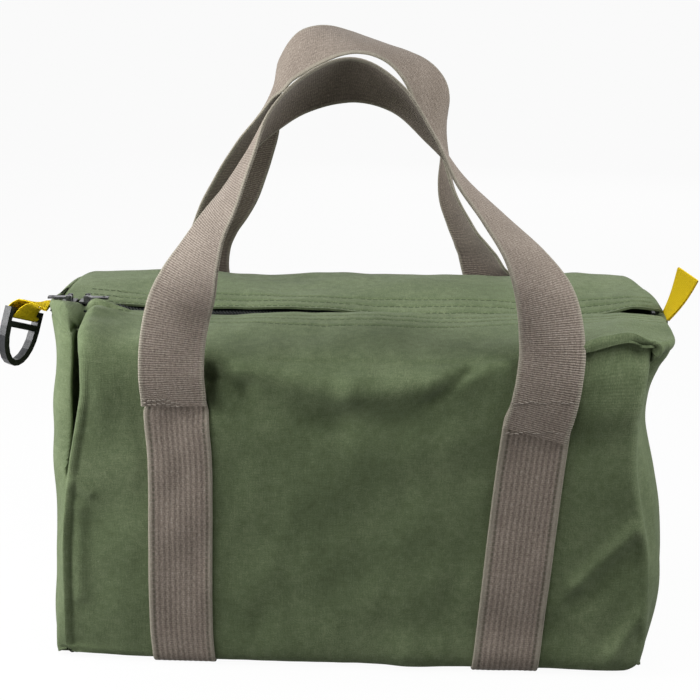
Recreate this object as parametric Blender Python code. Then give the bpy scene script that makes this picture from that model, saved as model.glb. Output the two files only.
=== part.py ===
"""Zip-top canvas tool bag with webbing straps, two carrying loops and a tab at each end.

Metres, +Z up. X runs along the bag, -Y is the front, and the origin lies on the ground
under the middle of the whole bag with its tabs.
"""

import math

import bpy
from mathutils import Vector

# Driving sizes of the bag
BAG_LENGTH = 0.356
BAG_DEPTH = 0.172
ZIP_HEIGHT = 0.2036
FRONT_SHOULDER_HEIGHT = 0.1835
REAR_SHOULDER_HEIGHT = 0.1985
TOP_LENGTH = 0.373
TOP_OVERHANG = 0.0085
PANEL_BULGE = 0.0065
LEFT_END_BULGE = 0.0085
RIGHT_END_BULGE = 0.0155
TOP_CROWN = 0.0045

# Cloth and running gaps
CANVAS_THICKNESS = 0.0016
WEBBING_WIDTH = 0.038
WEBBING_THICKNESS = 0.0018
TAPE_THICKNESS = 0.0008
GAP = 0.0003

# Stiffener in the base
BOARD_THICKNESS = 0.003
BOARD_EDGE_CLEARANCE = 0.003

# Straps and carrying loops
STRAP_OFFSET = 0.102
STRAP_TOP_DROP = 0.0235
FOOT_LENGTH = 0.021
FRONT_LOOP_RISE = 0.180
REAR_LOOP_RISE = 0.190
FRONT_LOOP_LEAN = 0.046
REAR_LOOP_LEAN = 0.032

# Zip
FLAP_HALF_LENGTH = 0.076
CANVAS_EDGE_OFFSET = 0.006
TAPE_INNER_OFFSET = 0.003
TAPE_OUTER_OFFSET = 0.014
COIL_INNER_OFFSET = 0.0009
COIL_HEIGHT = 0.002
STOP_LENGTH = 0.0018
PATCH_HALF_WIDTH = 0.020
PATCH_REACH = 0.0045
PATCH_DROP = 0.016

# Sliders and their pulls
SLIDER_LENGTH = 0.009
SLIDER_HALF_WIDTH = 0.0042
SLIDER_PLATE = 0.0011
SLIDER_NECK = 0.0012
SLIDER_SPACING = 0.011
SLIDER_END_CLEARANCE = 0.0012
LUG_HEIGHT = 0.0034
LUG_WIDTH = 0.0009
LUG_LENGTH = 0.0032
PIN_RADIUS = 0.0006
PULL_LENGTH = 0.015
PULL_WIDTH = 0.0044
PULL_THICKNESS = 0.0012
EYE_CLEARANCE = 0.0003

# End tabs and ring
TAB_WIDTH = 0.020
TAB_LAYER = 0.0009
TAB_ROOT_HEIGHT = 0.199
LEFT_TAB_REACH = 0.0165
LEFT_TAB_DROP = 0.0045
RIGHT_TAB_LENGTH = 0.030
RIGHT_TAB_LEAN_DEGREES = 24
RING_WIDTH = 0.027
RING_HEIGHT = 0.036
RING_THICKNESS = 0.006
RING_BAR = 0.0038
RING_SLOT = 0.0048

# Shapes chosen by hand, as shares of the sizes above
WALL_HEIGHT_SHARES = (0.0, 0.1, 0.25, 0.45, 0.65, 0.85, 1.0)
WALL_BULGE_SHARES = (0.0, 0.45, 0.85, 1.0, 0.8, 0.35, 0.0)
TOP_ACROSS_SHARES = (0.0, 0.08, 0.25, 0.5, 0.75, 1.0)
TOP_CROWN_SHARES = (0.0, 0.45, 0.95, 1.0, 0.55, 0.0)
LOOP_ACROSS_SHARES = (1.0, 1.02, 1.01, 0.94, 0.83, 0.70, 0.585, 0.47, 0.29, 0.0)
LOOP_RISE_SHARES = (0.0, 0.10, 0.23, 0.36, 0.50, 0.635, 0.745, 0.84, 0.955, 1.0)
LOOP_LEAN_SHARES = (0.0, 0.03, 0.09, 0.18, 0.29, 0.41, 0.53, 0.66, 0.86, 1.0)
LOOP_TURN_DEGREES = (0, 2, 8, 24, 48, 66, 77, 83, 88, 90)
LOOP_TILT_SHARES = (0.0, 0.0, 0.0, 0.0, 0.0, 0.09, 0.26, 0.52, 0.87, 1.0)
FRONT_LOOP_TILT_DEGREES = 46
REAR_LOOP_TILT_DEGREES = 18
PATCH_ROUNDING_SHARE = 0.35
TAB_BEND_SHARE = 0.6
TAB_TURN_SHARE = 1.35
END_RISE_SHARES = (0.0, 0.1, 0.3, 0.55, 0.8, 1.0)
LEFT_END_SWELL_SHARES = (0.12, 0.55, 0.85, 1.0, 0.95, 0.6)
RIGHT_END_SWELL_SHARES = (0.15, 0.7, 1.0, 0.6, -0.1, 0.4)
PATCH_OUT_SHARES = (0.0, 0.5, 0.95, 1.0, 0.95, 0.75)
PATCH_DOWN_SHARES = (0.0, 0.06, 0.25, 0.55, 0.8, 1.0)
LEFT_TAB_END_RUN_SHARES = (-0.62, 0.10, -0.78)
LEFT_TAB_END_WIDTH_SHARES = (0.56, 0.74, -0.36)
RIGHT_TAB_END_WIDTH_SHARES = (-0.47, 0.85, 0.25)

CANVAS_COLOUR = (0.085, 0.125, 0.045, 1)
BOARD_COLOUR = (0.05, 0.05, 0.05, 1)
WEBBING_COLOUR = (0.24, 0.20, 0.17, 1)
TAPE_COLOUR = (0.02, 0.022, 0.02, 1)
METAL_COLOUR = (0.03, 0.03, 0.032, 1)
YELLOW_COLOUR = (0.80, 0.58, 0.02, 1)
PLASTIC_COLOUR = (0.015, 0.016, 0.018, 1)

# Levels worked out from the sizes above
BASE_BOTTOM = WEBBING_THICKNESS + GAP
BOARD_BOTTOM = BASE_BOTTOM + CANVAS_THICKNESS + GAP
WALL_BOTTOM = BASE_BOTTOM + CANVAS_THICKNESS + GAP
HALF_LENGTH = BAG_LENGTH / 2
HALF_DEPTH = BAG_DEPTH / 2
HALF_TOP = TOP_LENGTH / 2
HALF_SHOULDER = HALF_TOP - TOP_OVERHANG
STRAP_TOP_HEIGHT = FRONT_SHOULDER_HEIGHT - STRAP_TOP_DROP
TAPE_TOP = ZIP_HEIGHT - CANVAS_THICKNESS - 3 * GAP
COIL_MIDDLE = TAPE_TOP - TAPE_THICKNESS / 2
COIL_OUTER_OFFSET = TAPE_INNER_OFFSET - GAP
STRAP_CORNER_RADIUS = WEBBING_THICKNESS + 3 * GAP
LOOP_START_HEIGHT = STRAP_TOP_HEIGHT + FOOT_LENGTH / 2
PATCH_OUTER = HALF_TOP + PATCH_REACH


def clear_scene():
    for item in list(bpy.data.objects):
        bpy.data.objects.remove(item, do_unlink=True)


def material(name, colour, roughness, metallic=0.0):
    made = bpy.data.materials.new(name)
    made.use_nodes = True
    shader = made.node_tree.nodes["Principled BSDF"]
    shader.inputs["Base Color"].default_value = colour
    shader.inputs["Roughness"].default_value = roughness
    shader.inputs["Metallic"].default_value = metallic
    made.diffuse_color = colour
    return made


def new_object(name, points, faces, look, origin):
    mesh = bpy.data.meshes.new(name)
    mesh.from_pydata([Vector(p) - origin for p in points], [], faces)
    mesh.validate()
    made = bpy.data.objects.new(name, mesh)
    made.location = origin
    made.data.materials.append(look)
    bpy.context.scene.collection.objects.link(made)
    return made


def smooth(made, angle=math.radians(40)):
    made.data.shade_smooth()
    made.data.set_sharp_from_angle(angle=angle)


def sheet(name, rows, thickness, outward, look, origin=Vector((0, 0, 0)), offset=-1.0):
    """A cloth sheet: rows of points on its surface, thickened inward by a Solidify."""
    columns = len(rows[0])
    points = [p for row in rows for p in row]
    faces = []
    for i in range(len(rows) - 1):
        for j in range(columns - 1):
            first = i * columns + j
            faces.append((first, first + 1, first + columns + 1, first + columns))
    middle_row = len(rows) // 2
    middle_column = columns // 2
    corner = Vector(rows[middle_row - 1][middle_column - 1])
    along = Vector(rows[middle_row - 1][middle_column]) - corner
    up = Vector(rows[middle_row][middle_column - 1]) - corner
    if along.cross(up).dot(Vector(outward)) < 0:
        faces = [tuple(reversed(face)) for face in faces]
    made = new_object(name, points, faces, look, Vector(origin))
    thicken = made.modifiers.new("thickness", "SOLIDIFY")
    thicken.thickness = thickness
    thicken.offset = offset
    smooth(made)
    return made


def box(name, low, high, look, origin=Vector((0, 0, 0))):
    points = [(x, y, z) for x in (low[0], high[0]) for y in (low[1], high[1]) for z in (low[2], high[2])]
    faces = [(0, 1, 3, 2), (4, 6, 7, 5), (0, 4, 5, 1), (2, 3, 7, 6), (0, 2, 6, 4), (1, 5, 7, 3)]
    return new_object(name, points, faces, look, Vector(origin))


def join_by_union(target, helper):
    """Fuse a helper into the target with a Boolean, and keep the helper out of the model."""
    fuse = target.modifiers.new(helper.name, "BOOLEAN")
    fuse.operation = "UNION"
    fuse.object = helper
    hide_helper(helper)


def cut(target, helper):
    carve = target.modifiers.new(helper.name, "BOOLEAN")
    carve.operation = "DIFFERENCE"
    carve.object = helper
    hide_helper(helper)


def hide_helper(helper):
    helper.hide_render = True
    helper.display_type = "WIRE"


def cylinder_between(name, start, end, radius, sides, look):
    axis = Vector(end) - Vector(start)
    across = axis.orthogonal().normalized()
    upward = axis.normalized().cross(across)
    ring = []
    for k in range(sides):
        angle = 2 * math.pi * k / sides
        ring.append(across * (radius * math.cos(angle)) + upward * (radius * math.sin(angle)))
    points = [Vector(start) + r for r in ring] + [Vector(end) + r for r in ring]
    faces = [(k, (k + 1) % sides, sides + (k + 1) % sides, sides + k) for k in range(sides)]
    faces.append(tuple(reversed(range(sides))))
    faces.append(tuple(range(sides, 2 * sides)))
    return new_object(name, points, faces, look, Vector((0, 0, 0)))


def spread(low, high, count):
    return [low + (high - low) * k / (count - 1) for k in range(count)]


def shoulder_height(side):
    return FRONT_SHOULDER_HEIGHT if side < 0 else REAR_SHOULDER_HEIGHT


def half_length_at(height_share):
    """Half the bag's length at a share of the walls' height, from the base to the shoulders."""
    return HALF_LENGTH + (HALF_SHOULDER - HALF_LENGTH) * height_share


def wall_point(side, along_share, height_share, bulge_share):
    """A point on the outer face of the front (side -1) or rear (side +1) panel."""
    middle_share = 1 - along_share * along_share
    y = HALF_DEPTH + PANEL_BULGE * bulge_share * middle_share
    z = WALL_BOTTOM + (shoulder_height(side) - CANVAS_THICKNESS - WALL_BOTTOM) * height_share
    return (half_length_at(height_share) * along_share, side * y, z)


def side_panel(name, side, look):
    rows = []
    for height_share, bulge_share in zip(WALL_HEIGHT_SHARES, WALL_BULGE_SHARES):
        rows.append([wall_point(side, s, height_share, bulge_share) for s in spread(-1, 1, 13)])
    return sheet(name, rows, CANVAS_THICKNESS, (0, side, 0), look)


def top_height(side, across_share, crown_share):
    shoulder = shoulder_height(side)
    return shoulder + GAP + (ZIP_HEIGHT - shoulder - GAP) * across_share + TOP_CROWN * crown_share


def top_offset(across_share):
    return HALF_DEPTH + (CANVAS_EDGE_OFFSET - HALF_DEPTH) * across_share


def top_panel(name, side, low, high, columns, look, origin):
    """One stretch of the top, from the shoulder to the zip; its outer ends flare past the base."""
    flare = HALF_TOP / HALF_SHOULDER
    rows = []
    for across_share, crown_share in zip(TOP_ACROSS_SHARES, TOP_CROWN_SHARES):
        row = []
        for x in spread(low, high, columns):
            is_outer = abs(x) > (FLAP_HALF_LENGTH + HALF_SHOULDER) / 2
            reach = 1 + (flare - 1) * across_share if is_outer else 1
            row.append((x * reach, side * top_offset(across_share), top_height(side, across_share, crown_share)))
        rows.append(row)
    return sheet(name, rows, CANVAS_THICKNESS, (0, 0, 1), look, origin)


def stretches():
    """The three stretches along the zip: name, low X, high X, and whether it opens."""
    inner = FLAP_HALF_LENGTH + GAP
    return (
        ("left", -HALF_SHOULDER, -inner, False),
        ("middle", -FLAP_HALF_LENGTH, FLAP_HALF_LENGTH, True),
        ("right", inner, HALF_SHOULDER, False),
    )


def flap_axis(side):
    """A point of the fold line of a flap, on the outer corner of the shoulder."""
    return Vector((0, side * HALF_DEPTH, shoulder_height(side) + GAP))


def top_panels(look):
    for end, side in (("front", -1), ("rear", 1)):
        for place, low, high, opens in stretches():
            name = end + "_flap" if opens else end + "_top_" + place
            origin = flap_axis(side) if opens else Vector((0, 0, 0))
            top_panel(name, side, low, high, 9, look, origin)


def zip_span(place, low, high):
    """The tape and coil run a little past the panels' outer ends."""
    outer = HALF_TOP
    if place == "left":
        return -outer, high
    if place == "right":
        return low, outer
    return low, high


def zip_tapes(look):
    for end, side in (("front", -1), ("rear", 1)):
        for place, low, high, opens in stretches():
            start, stop = zip_span(place, low, high)
            rows = []
            for offset in (TAPE_INNER_OFFSET, TAPE_OUTER_OFFSET):
                z = tape_height(side, offset)
                rows.append([(x, side * offset, z) for x in spread(start, stop, 5)])
            origin = flap_axis(side) if opens else Vector((0, 0, 0))
            sheet(end + "_tape_" + place, rows, TAPE_THICKNESS, (0, 0, 1), look, origin)


def zip_coils(look):
    stop_room = STOP_LENGTH + 2 * GAP
    for end, side in (("front", -1), ("rear", 1)):
        for place, low, high, opens in stretches():
            start, stop = zip_span(place, low, high)
            start += stop_room if place == "left" else 0
            stop -= stop_room if place == "right" else 0
            near, far = sorted((side * COIL_INNER_OFFSET, side * COIL_OUTER_OFFSET))
            origin = flap_axis(side) if opens else Vector((0, 0, 0))
            name = end + "_coil_" + place
            low_corner = (start, near, COIL_MIDDLE - COIL_HEIGHT / 2)
            high_corner = (stop, far, COIL_MIDDLE + COIL_HEIGHT / 2)
            coil = box(name, low_corner, high_corner, look, origin)
            round_edges = coil.modifiers.new("round", "BEVEL")
            round_edges.width = COIL_HEIGHT / 5
            round_edges.segments = 1


def end_stops(look):
    for name, side in (("left", -1), ("right", 1)):
        near, far = sorted((side * (HALF_TOP - STOP_LENGTH - GAP), side * (HALF_TOP - GAP)))
        low = (near, -COIL_OUTER_OFFSET, COIL_MIDDLE - COIL_HEIGHT / 2)
        high = (far, COIL_OUTER_OFFSET, COIL_MIDDLE + COIL_HEIGHT / 2)
        box(name + "_end_stop", low, high, look)


def base_panel(look):
    rows = []
    for y in spread(-HALF_DEPTH, HALF_DEPTH, 3):
        rows.append([(x, y, BASE_BOTTOM) for x in spread(-HALF_LENGTH, HALF_LENGTH, 5)])
    return sheet("base_panel", rows, CANVAS_THICKNESS, (0, 0, -1), look)


def base_board(look):
    """The board lies on the base panel inside the four walls."""
    inset = CANVAS_THICKNESS + BOARD_EDGE_CLEARANCE
    x = HALF_LENGTH - inset
    y = HALF_DEPTH - inset
    board = box("base_board", (-x, -y, BOARD_BOTTOM), (x, y, BOARD_BOTTOM + BOARD_THICKNESS), look)
    round_edges = board.modifiers.new("round", "BEVEL")
    round_edges.width = BOARD_THICKNESS / 6
    round_edges.segments = 1
    return board


def end_panel_top(y):
    """The underside of the top panels, less the gap, at a place across the bag."""
    side = -1 if y < 0 else 1
    if abs(y) < TAPE_INNER_OFFSET + SLIDER_HALF_WIDTH:
        return slider_underside() - GAP
    if abs(y) <= TAPE_OUTER_OFFSET + GAP:
        return tape_height(side, abs(y)) - TAPE_THICKNESS - 2 * GAP
    return canvas_underside(side, abs(y)) - GAP


def canvas_underside(side, offset):
    """The underside of a top panel at an offset from the zip line, following its crown."""
    across_share = min((HALF_DEPTH - offset) / (HALF_DEPTH - CANVAS_EDGE_OFFSET), 1)
    k = 1
    while TOP_ACROSS_SHARES[k] < across_share:
        k += 1
    low_share, high_share = TOP_ACROSS_SHARES[k - 1], TOP_ACROSS_SHARES[k]
    low_z = top_height(side, low_share, TOP_CROWN_SHARES[k - 1])
    high_z = top_height(side, high_share, TOP_CROWN_SHARES[k])
    slope = (high_z - low_z) / (top_offset(low_share) - top_offset(high_share))
    part_share = (across_share - low_share) / (high_share - low_share)
    surface = low_z + (high_z - low_z) * part_share
    return surface - CANVAS_THICKNESS * math.hypot(1, slope)


def tape_height(side, offset):
    """The upper face of a tape, just under the canvas or level with the coils."""
    return min(TAPE_TOP, canvas_underside(side, offset) - GAP)


def slider_underside():
    return COIL_MIDDLE - COIL_HEIGHT / 2 - GAP - SLIDER_PLATE


def end_panel_columns(half):
    """Places across an end panel, with a notch under the sliders' path."""
    places = [half] + [top_offset(s) for s in TOP_ACROSS_SHARES[1:-1]]
    places += [TAPE_OUTER_OFFSET, SLIDER_HALF_WIDTH + GAP]
    return [-y for y in places] + [0.0] + list(reversed(places))


def end_panel(name, side, bulge, swell_shares, look):
    """An end wall between the front and rear panels, swollen as the filled bag pushes it."""
    inset = CANVAS_THICKNESS + GAP
    half = HALF_DEPTH - inset
    columns = []
    for y in end_panel_columns(half):
        share = y / half
        top = end_panel_top(y)
        column = []
        for rise_share, swell_share in zip(END_RISE_SHARES, swell_shares):
            z = WALL_BOTTOM + (top - WALL_BOTTOM) * rise_share
            swell = bulge * swell_share * (1 - share * share)
            column.append((side * (half_length_at(rise_share) - GAP + swell), y, z))
        columns.append(column)
    return sheet(name, columns, CANVAS_THICKNESS, (side, 0, 0), look)


def zip_patch(name, side, look):
    """Canvas folded down over the end of the zip, from the top panels to the end panel."""
    top = ZIP_HEIGHT
    drop = PATCH_DROP
    reach = PATCH_REACH - GAP - CANVAS_THICKNESS / 2
    rows = []
    for out_share, down_share in zip(PATCH_OUT_SHARES, PATCH_DOWN_SHARES):
        row = []
        for across in spread(-1, 1, 7):
            sag_share = across * across
            x = HALF_TOP + GAP + CANVAS_THICKNESS / 2 + reach * out_share * (1 - PATCH_ROUNDING_SHARE * sag_share)
            z = top - drop * down_share - TOP_CROWN * sag_share * (1 - down_share)
            row.append((side * x, PATCH_HALF_WIDTH * across, z))
        rows.append(row)
    return sheet(name, rows, CANVAS_THICKNESS, (side, 0, 1), look)


def strap_face(side, height):
    """How far out the webbing's outer face lies on the bulging wall, at a height."""
    wall = shoulder_height(side) - CANVAS_THICKNESS - WALL_BOTTOM
    height_share = max((height - WALL_BOTTOM) / wall, 0)
    k = 1
    while WALL_HEIGHT_SHARES[k] < height_share:
        k += 1
    low_share, high_share = WALL_HEIGHT_SHARES[k - 1], WALL_HEIGHT_SHARES[k]
    part_share = (height_share - low_share) / (high_share - low_share)
    bulge_share = WALL_BULGE_SHARES[k - 1] * (1 - part_share) + WALL_BULGE_SHARES[k] * part_share
    inner_share = (STRAP_OFFSET - WEBBING_WIDTH / 2) / HALF_LENGTH
    bulge = PANEL_BULGE * bulge_share * (1 - inner_share * inner_share)
    return HALF_DEPTH + bulge + GAP + WEBBING_THICKNESS


def foot_face(side):
    """How far out a handle foot's outer face lies, clear of the strap beneath it."""
    return strap_face(side, LOOP_START_HEIGHT - FOOT_LENGTH) + GAP + WEBBING_THICKNESS


def strap_side(side):
    """The route of the webbing down one wall and round the corner of the base."""
    wall = shoulder_height(side) - CANVAS_THICKNESS - WALL_BOTTOM
    levels = [WALL_BOTTOM + wall * share for share in WALL_HEIGHT_SHARES[1:]]
    levels = [STRAP_TOP_HEIGHT] + [z for z in reversed(levels) if z < STRAP_TOP_HEIGHT]
    route = [(side * strap_face(side, z), z) for z in levels]
    radius = STRAP_CORNER_RADIUS
    face = strap_face(side, 0)
    for k in range(5):
        angle = math.radians(90) * k / 4
        y = face - radius * (1 - math.cos(angle))
        route.append((side * y, radius * (1 - math.sin(angle))))
    return route


def strap(name, x, look):
    """Webbing from the front, round under the base and up the rear, outside the canvas."""
    edges = (x - WEBBING_WIDTH / 2, x + WEBBING_WIDTH / 2)
    route = strap_side(-1) + list(reversed(strap_side(1)))
    rows = [[(x_edge, y, z) for x_edge in edges] for y, z in route]
    return sheet(name, rows, WEBBING_THICKNESS, (0, 0, -1), look)


def handle_foot(name, side, x, look):
    """The stitched end of a carrying loop, lapped over the strap."""
    face = foot_face(side)
    low_y, high_y = sorted((side * (face - WEBBING_THICKNESS), side * face))
    bottom = LOOP_START_HEIGHT - FOOT_LENGTH - GAP
    low = (x - WEBBING_WIDTH / 2, low_y, bottom)
    high = (x + WEBBING_WIDTH / 2, high_y, LOOP_START_HEIGHT - GAP)
    return box(name, low, high, look)


def curve_through(values, steps):
    """Catmull-Rom values through a list, with steps per interval."""
    out = []
    last = len(values) - 1
    for k in range(last):
        before = values[max(k - 1, 0)]
        start = values[k]
        end = values[k + 1]
        after = values[min(k + 2, last)]
        for j in range(steps):
            t = j / steps
            a = 2 * start
            b = (end - before) * t
            c = (2 * before - 5 * start + 4 * end - after) * t * t
            d = (3 * start - before - 3 * end + after) * t * t * t
            out.append((a + b + c + d) / 2)
    out.append(values[last])
    return out


def mirrored(values, turned):
    """A list for the left half of a loop continued over its right half."""
    return list(values) + [turned(v) for v in reversed(values[:-1])]


def carrying_loop(name, side, rise, lean_in, tilt_degrees, look):
    """A webbing loop from foot to foot; its width turns from along the bag to across it."""
    steps = 3
    across = curve_through(mirrored(LOOP_ACROSS_SHARES, lambda v: -v), steps)
    up = curve_through(mirrored(LOOP_RISE_SHARES, lambda v: v), steps)
    lean = curve_through(mirrored(LOOP_LEAN_SHARES, lambda v: v), steps)
    turn = curve_through(mirrored(LOOP_TURN_DEGREES, lambda v: 180 - v), steps)
    tilt = curve_through(mirrored(LOOP_TILT_SHARES, lambda v: v), steps)
    half = WEBBING_WIDTH / 2
    face = foot_face(side)
    rows = []
    for k in range(len(across)):
        centre = Vector((
            -STRAP_OFFSET * across[k],
            side * (face - WEBBING_THICKNESS / 2 - lean_in * lean[k]),
            LOOP_START_HEIGHT + rise * up[k],
        ))
        around = math.radians(turn[k])
        lift = math.radians(tilt_degrees * tilt[k])
        width = Vector((
            math.cos(around) * math.cos(lift),
            side * math.sin(around) * math.cos(lift),
            math.sin(lift),
        ))
        rows.append([centre - width * half, centre + width * half])
    origin = Vector((0, side * face, LOOP_START_HEIGHT))
    return sheet(name, rows, WEBBING_THICKNESS, (0, -side, 0), look, origin, offset=0.0)


def slider(number, x, body_look):
    """Two plates joined by a neck between the coils, with lugs and a pin for the pull."""
    name = "slider_" + str(number)
    origin = Vector((x, 0, COIL_MIDDLE))
    half = SLIDER_LENGTH / 2
    clear = COIL_HEIGHT / 2 + GAP
    upper = COIL_MIDDLE + clear
    lower = COIL_MIDDLE - clear
    width = SLIDER_HALF_WIDTH
    body = box(name, (x - half, -width, upper), (x + half, width, upper + SLIDER_PLATE), body_look, origin)
    bottom = box(name + "_bottom", (x - half, -width, lower - SLIDER_PLATE), (x + half, width, lower), body_look)
    neck_half = SLIDER_NECK / 2
    overlap = SLIDER_PLATE / 2
    neck = box(
        name + "_neck",
        (x - half / 2, -neck_half, lower - overlap),
        (x + half / 2, neck_half, upper + overlap),
        body_look,
    )
    join_by_union(body, neck)
    join_by_union(body, bottom)
    lug_inner = PULL_WIDTH / 2 + GAP
    deck = upper + SLIDER_PLATE
    for label, side in (("_lug_front", -1), ("_lug_rear", 1)):
        near, far = sorted((side * lug_inner, side * (lug_inner + LUG_WIDTH)))
        low = (x - LUG_LENGTH / 2, near, deck - overlap)
        high = (x + LUG_LENGTH / 2, far, deck + LUG_HEIGHT)
        join_by_union(body, box(name + label, low, high, body_look))
    pin_height = pull_axis_height()
    reach = lug_inner + LUG_WIDTH / 2
    pin = cylinder_between(
        name + "_pin", (x, -reach, pin_height), (x, reach, pin_height), PIN_RADIUS, 10, body_look
    )
    join_by_union(body, pin)
    return body


def pull_axis_height():
    deck = COIL_MIDDLE + COIL_HEIGHT / 2 + GAP + SLIDER_PLATE
    return deck + LUG_HEIGHT / 2


def pull(number, x, side, look):
    """A flat pull whose eye turns on the slider's pin, lying away from the other slider."""
    name = "pull_" + str(number)
    z = pull_axis_height()
    origin = Vector((x, 0, z))
    eye = PIN_RADIUS + EYE_CLEARANCE
    rim = eye + PULL_THICKNESS / 2
    outline = []
    for k in range(9):
        angle = math.radians(-90 + 180 * k / 8)
        outline.append((rim * math.cos(angle), rim * math.sin(angle)))
    tail = PULL_LENGTH - rim
    blade = PULL_THICKNESS / 2
    shoulder = 2 * rim
    outline += [(-shoulder, blade), (-tail, blade), (-tail, -blade), (-shoulder, -blade)]
    body = plate(name, outline, PULL_WIDTH, origin, Vector((-side, 0, 0)), Vector((0, 0, 1)), look)
    hole = cylinder_between(name + "_eye", (x, -PULL_WIDTH, z), (x, PULL_WIDTH, z), eye, 12, look)
    cut(body, hole)
    grip_x = x + side * (PULL_LENGTH - PULL_WIDTH)
    low = (grip_x, 0, z - PULL_WIDTH)
    high = (grip_x, 0, z + PULL_WIDTH)
    grip = cylinder_between(name + "_grip_hole", low, high, PULL_WIDTH / 4, 12, look)
    cut(body, grip)
    return body


def slider_place(number):
    """Both sliders are parked at the left end, the first one outermost."""
    outermost = -HALF_TOP + STOP_LENGTH + 2 * GAP + SLIDER_END_CLEARANCE + SLIDER_LENGTH / 2
    return outermost + SLIDER_SPACING * (number - 1)


def left_tab_frame():
    """Root, ring bar centre, and the directions of the tab at both."""
    root = Vector((-PATCH_OUTER - GAP, 0, TAB_ROOT_HEIGHT))
    bar = root + Vector((-LEFT_TAB_REACH, 0, -LEFT_TAB_DROP))
    start_run = Vector((-1, 0, 0))
    end_run = Vector(LEFT_TAB_END_RUN_SHARES).normalized()
    start_width = Vector((0, 1, 0))
    end_width = Vector(LEFT_TAB_END_WIDTH_SHARES)
    end_width = (end_width - end_run * end_width.dot(end_run)).normalized()
    return root, bar, start_run, end_run, start_width, end_width


def ring_bar_radius():
    """From the middle of the ring's top bar out to its corners."""
    return math.hypot(RING_BAR / 2, RING_THICKNESS / 2)


def left_tab(look):
    """Yellow webbing that leaves the zip end, turns, loops over the ring's bar and returns."""
    root, bar, start_run, end_run, start_width, end_width = left_tab_frame()
    reach = (bar - root).length
    half = TAB_WIDTH / 2
    open_half = ring_bar_radius() + GAP + TAB_LAYER / 2
    closed_half = TAB_LAYER / 2 + GAP / 2
    upper = []
    lower = []
    count = 7
    for k in range(count):
        t = k / (count - 1)
        first = root + start_run * (reach * t * TAB_BEND_SHARE)
        second = bar - end_run * (reach * (1 - t) * TAB_BEND_SHARE)
        blend = t * t * (3 - 2 * t)
        centre = first.lerp(second, blend)
        run = start_run.lerp(end_run, blend).normalized()
        width = start_width.lerp(end_width, min(blend * TAB_TURN_SHARE, 1))
        width = (width - run * width.dot(run)).normalized()
        outward = width.cross(run).normalized()
        if outward.z < 0:
            outward = -outward
        spread_half = closed_half + (open_half - closed_half) * blend
        upper.append((centre + outward * spread_half, width))
        lower.append((centre - outward * spread_half, width))
    outward = (upper[-1][0] - lower[-1][0]).normalized()
    turn = []
    for k in range(1, 8):
        angle = math.pi * k / 8
        around = outward * math.cos(angle) + end_run * math.sin(angle)
        turn.append((bar + around * open_half, end_width))
    stations = upper + turn + list(reversed(lower))
    rows = [[c - w * half, c + w * half] for c, w in stations]
    fold = root + Vector((0, 0, closed_half + TAB_LAYER / 2))
    return sheet("left_tab", rows, TAB_LAYER, (0, 0, 1), look, fold, offset=0.0)


def d_ring(look):
    """A plastic ring: a slot for the tab under the top bar, a cross bar, and the open bow."""
    root, bar, start_run, end_run, start_width, end_width = left_tab_frame()
    hang = Vector((0, 0, -1))
    hang = (hang - end_width * hang.dot(end_width)).normalized()
    half = RING_WIDTH / 2
    top = -RING_BAR / 2
    straight = RING_BAR * 1.5 + RING_SLOT
    outline = [(-half, top), (half, top), (half, straight)]
    bow = RING_HEIGHT - straight + top
    for k in range(1, 12):
        angle = math.pi * k / 12
        outline.append((half * math.cos(angle), straight + bow * math.sin(angle)))
    outline.append((-half, straight))
    body = plate("d_ring", outline, RING_THICKNESS, bar, end_width, hang, look)
    slot_half = TAB_WIDTH / 2 + GAP * 2
    slot_top = RING_BAR / 2
    slot = [(-slot_half, slot_top), (slot_half, slot_top)]
    slot += [(slot_half, slot_top + RING_SLOT), (-slot_half, slot_top + RING_SLOT)]
    cut(body, plate("d_ring_slot", slot, RING_THICKNESS * 2, bar, end_width, hang, look))
    bow_top = slot_top + RING_SLOT + RING_BAR
    inner_half = half - RING_BAR
    inner = [(-inner_half, bow_top), (inner_half, bow_top)]
    depth = RING_HEIGHT + top - RING_BAR - bow_top
    for k in range(1, 10):
        angle = math.pi * k / 10
        inner.append((inner_half * math.cos(angle), bow_top + depth * math.sin(angle)))
    cut(body, plate("d_ring_bow", inner, RING_THICKNESS * 2, bar, end_width, hang, look))
    return body


def plate(name, outline, thickness, centre, across, down, look):
    """An outline in the plane of two directions, extruded evenly to both sides of it."""
    normal = across.cross(down)
    points = []
    for level in (-thickness / 2, thickness / 2):
        for u, v in outline:
            points.append(centre + across * u + down * v + normal * level)
    count = len(outline)
    faces = [tuple(reversed(range(count))), tuple(range(count, 2 * count))]
    for k in range(count):
        after = (k + 1) % count
        faces.append((k, after, after + count, k + count))
    return new_object(name, points, faces, look, Vector(centre))


def right_tab(look):
    """Yellow webbing folded flat on itself, standing up and turning from the zip's right end."""
    root = Vector((PATCH_OUTER + GAP + TAB_LAYER, 0, TAB_ROOT_HEIGHT))
    lean = math.radians(RIGHT_TAB_LEAN_DEGREES)
    run = Vector((math.sin(lean), 0, math.cos(lean)))
    fold = root + Vector((run.z, 0, -run.x)) * TAB_LAYER
    half = TAB_WIDTH / 2
    tip_width = Vector(RIGHT_TAB_END_WIDTH_SHARES)
    rows = []
    for share in (0.0, 0.2, 0.4, 0.6, 0.8, 1.0):
        centre = root + run * (RIGHT_TAB_LENGTH * share)
        width = Vector((0, 1, 0)).lerp(tip_width, share)
        width = (width - run * width.dot(run)).normalized()
        rows.append([centre - width * half, centre + width * half])
    return sheet("right_tab", rows, TAB_LAYER * 2, (1, 0, 0), look, fold, offset=0.0)


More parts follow.
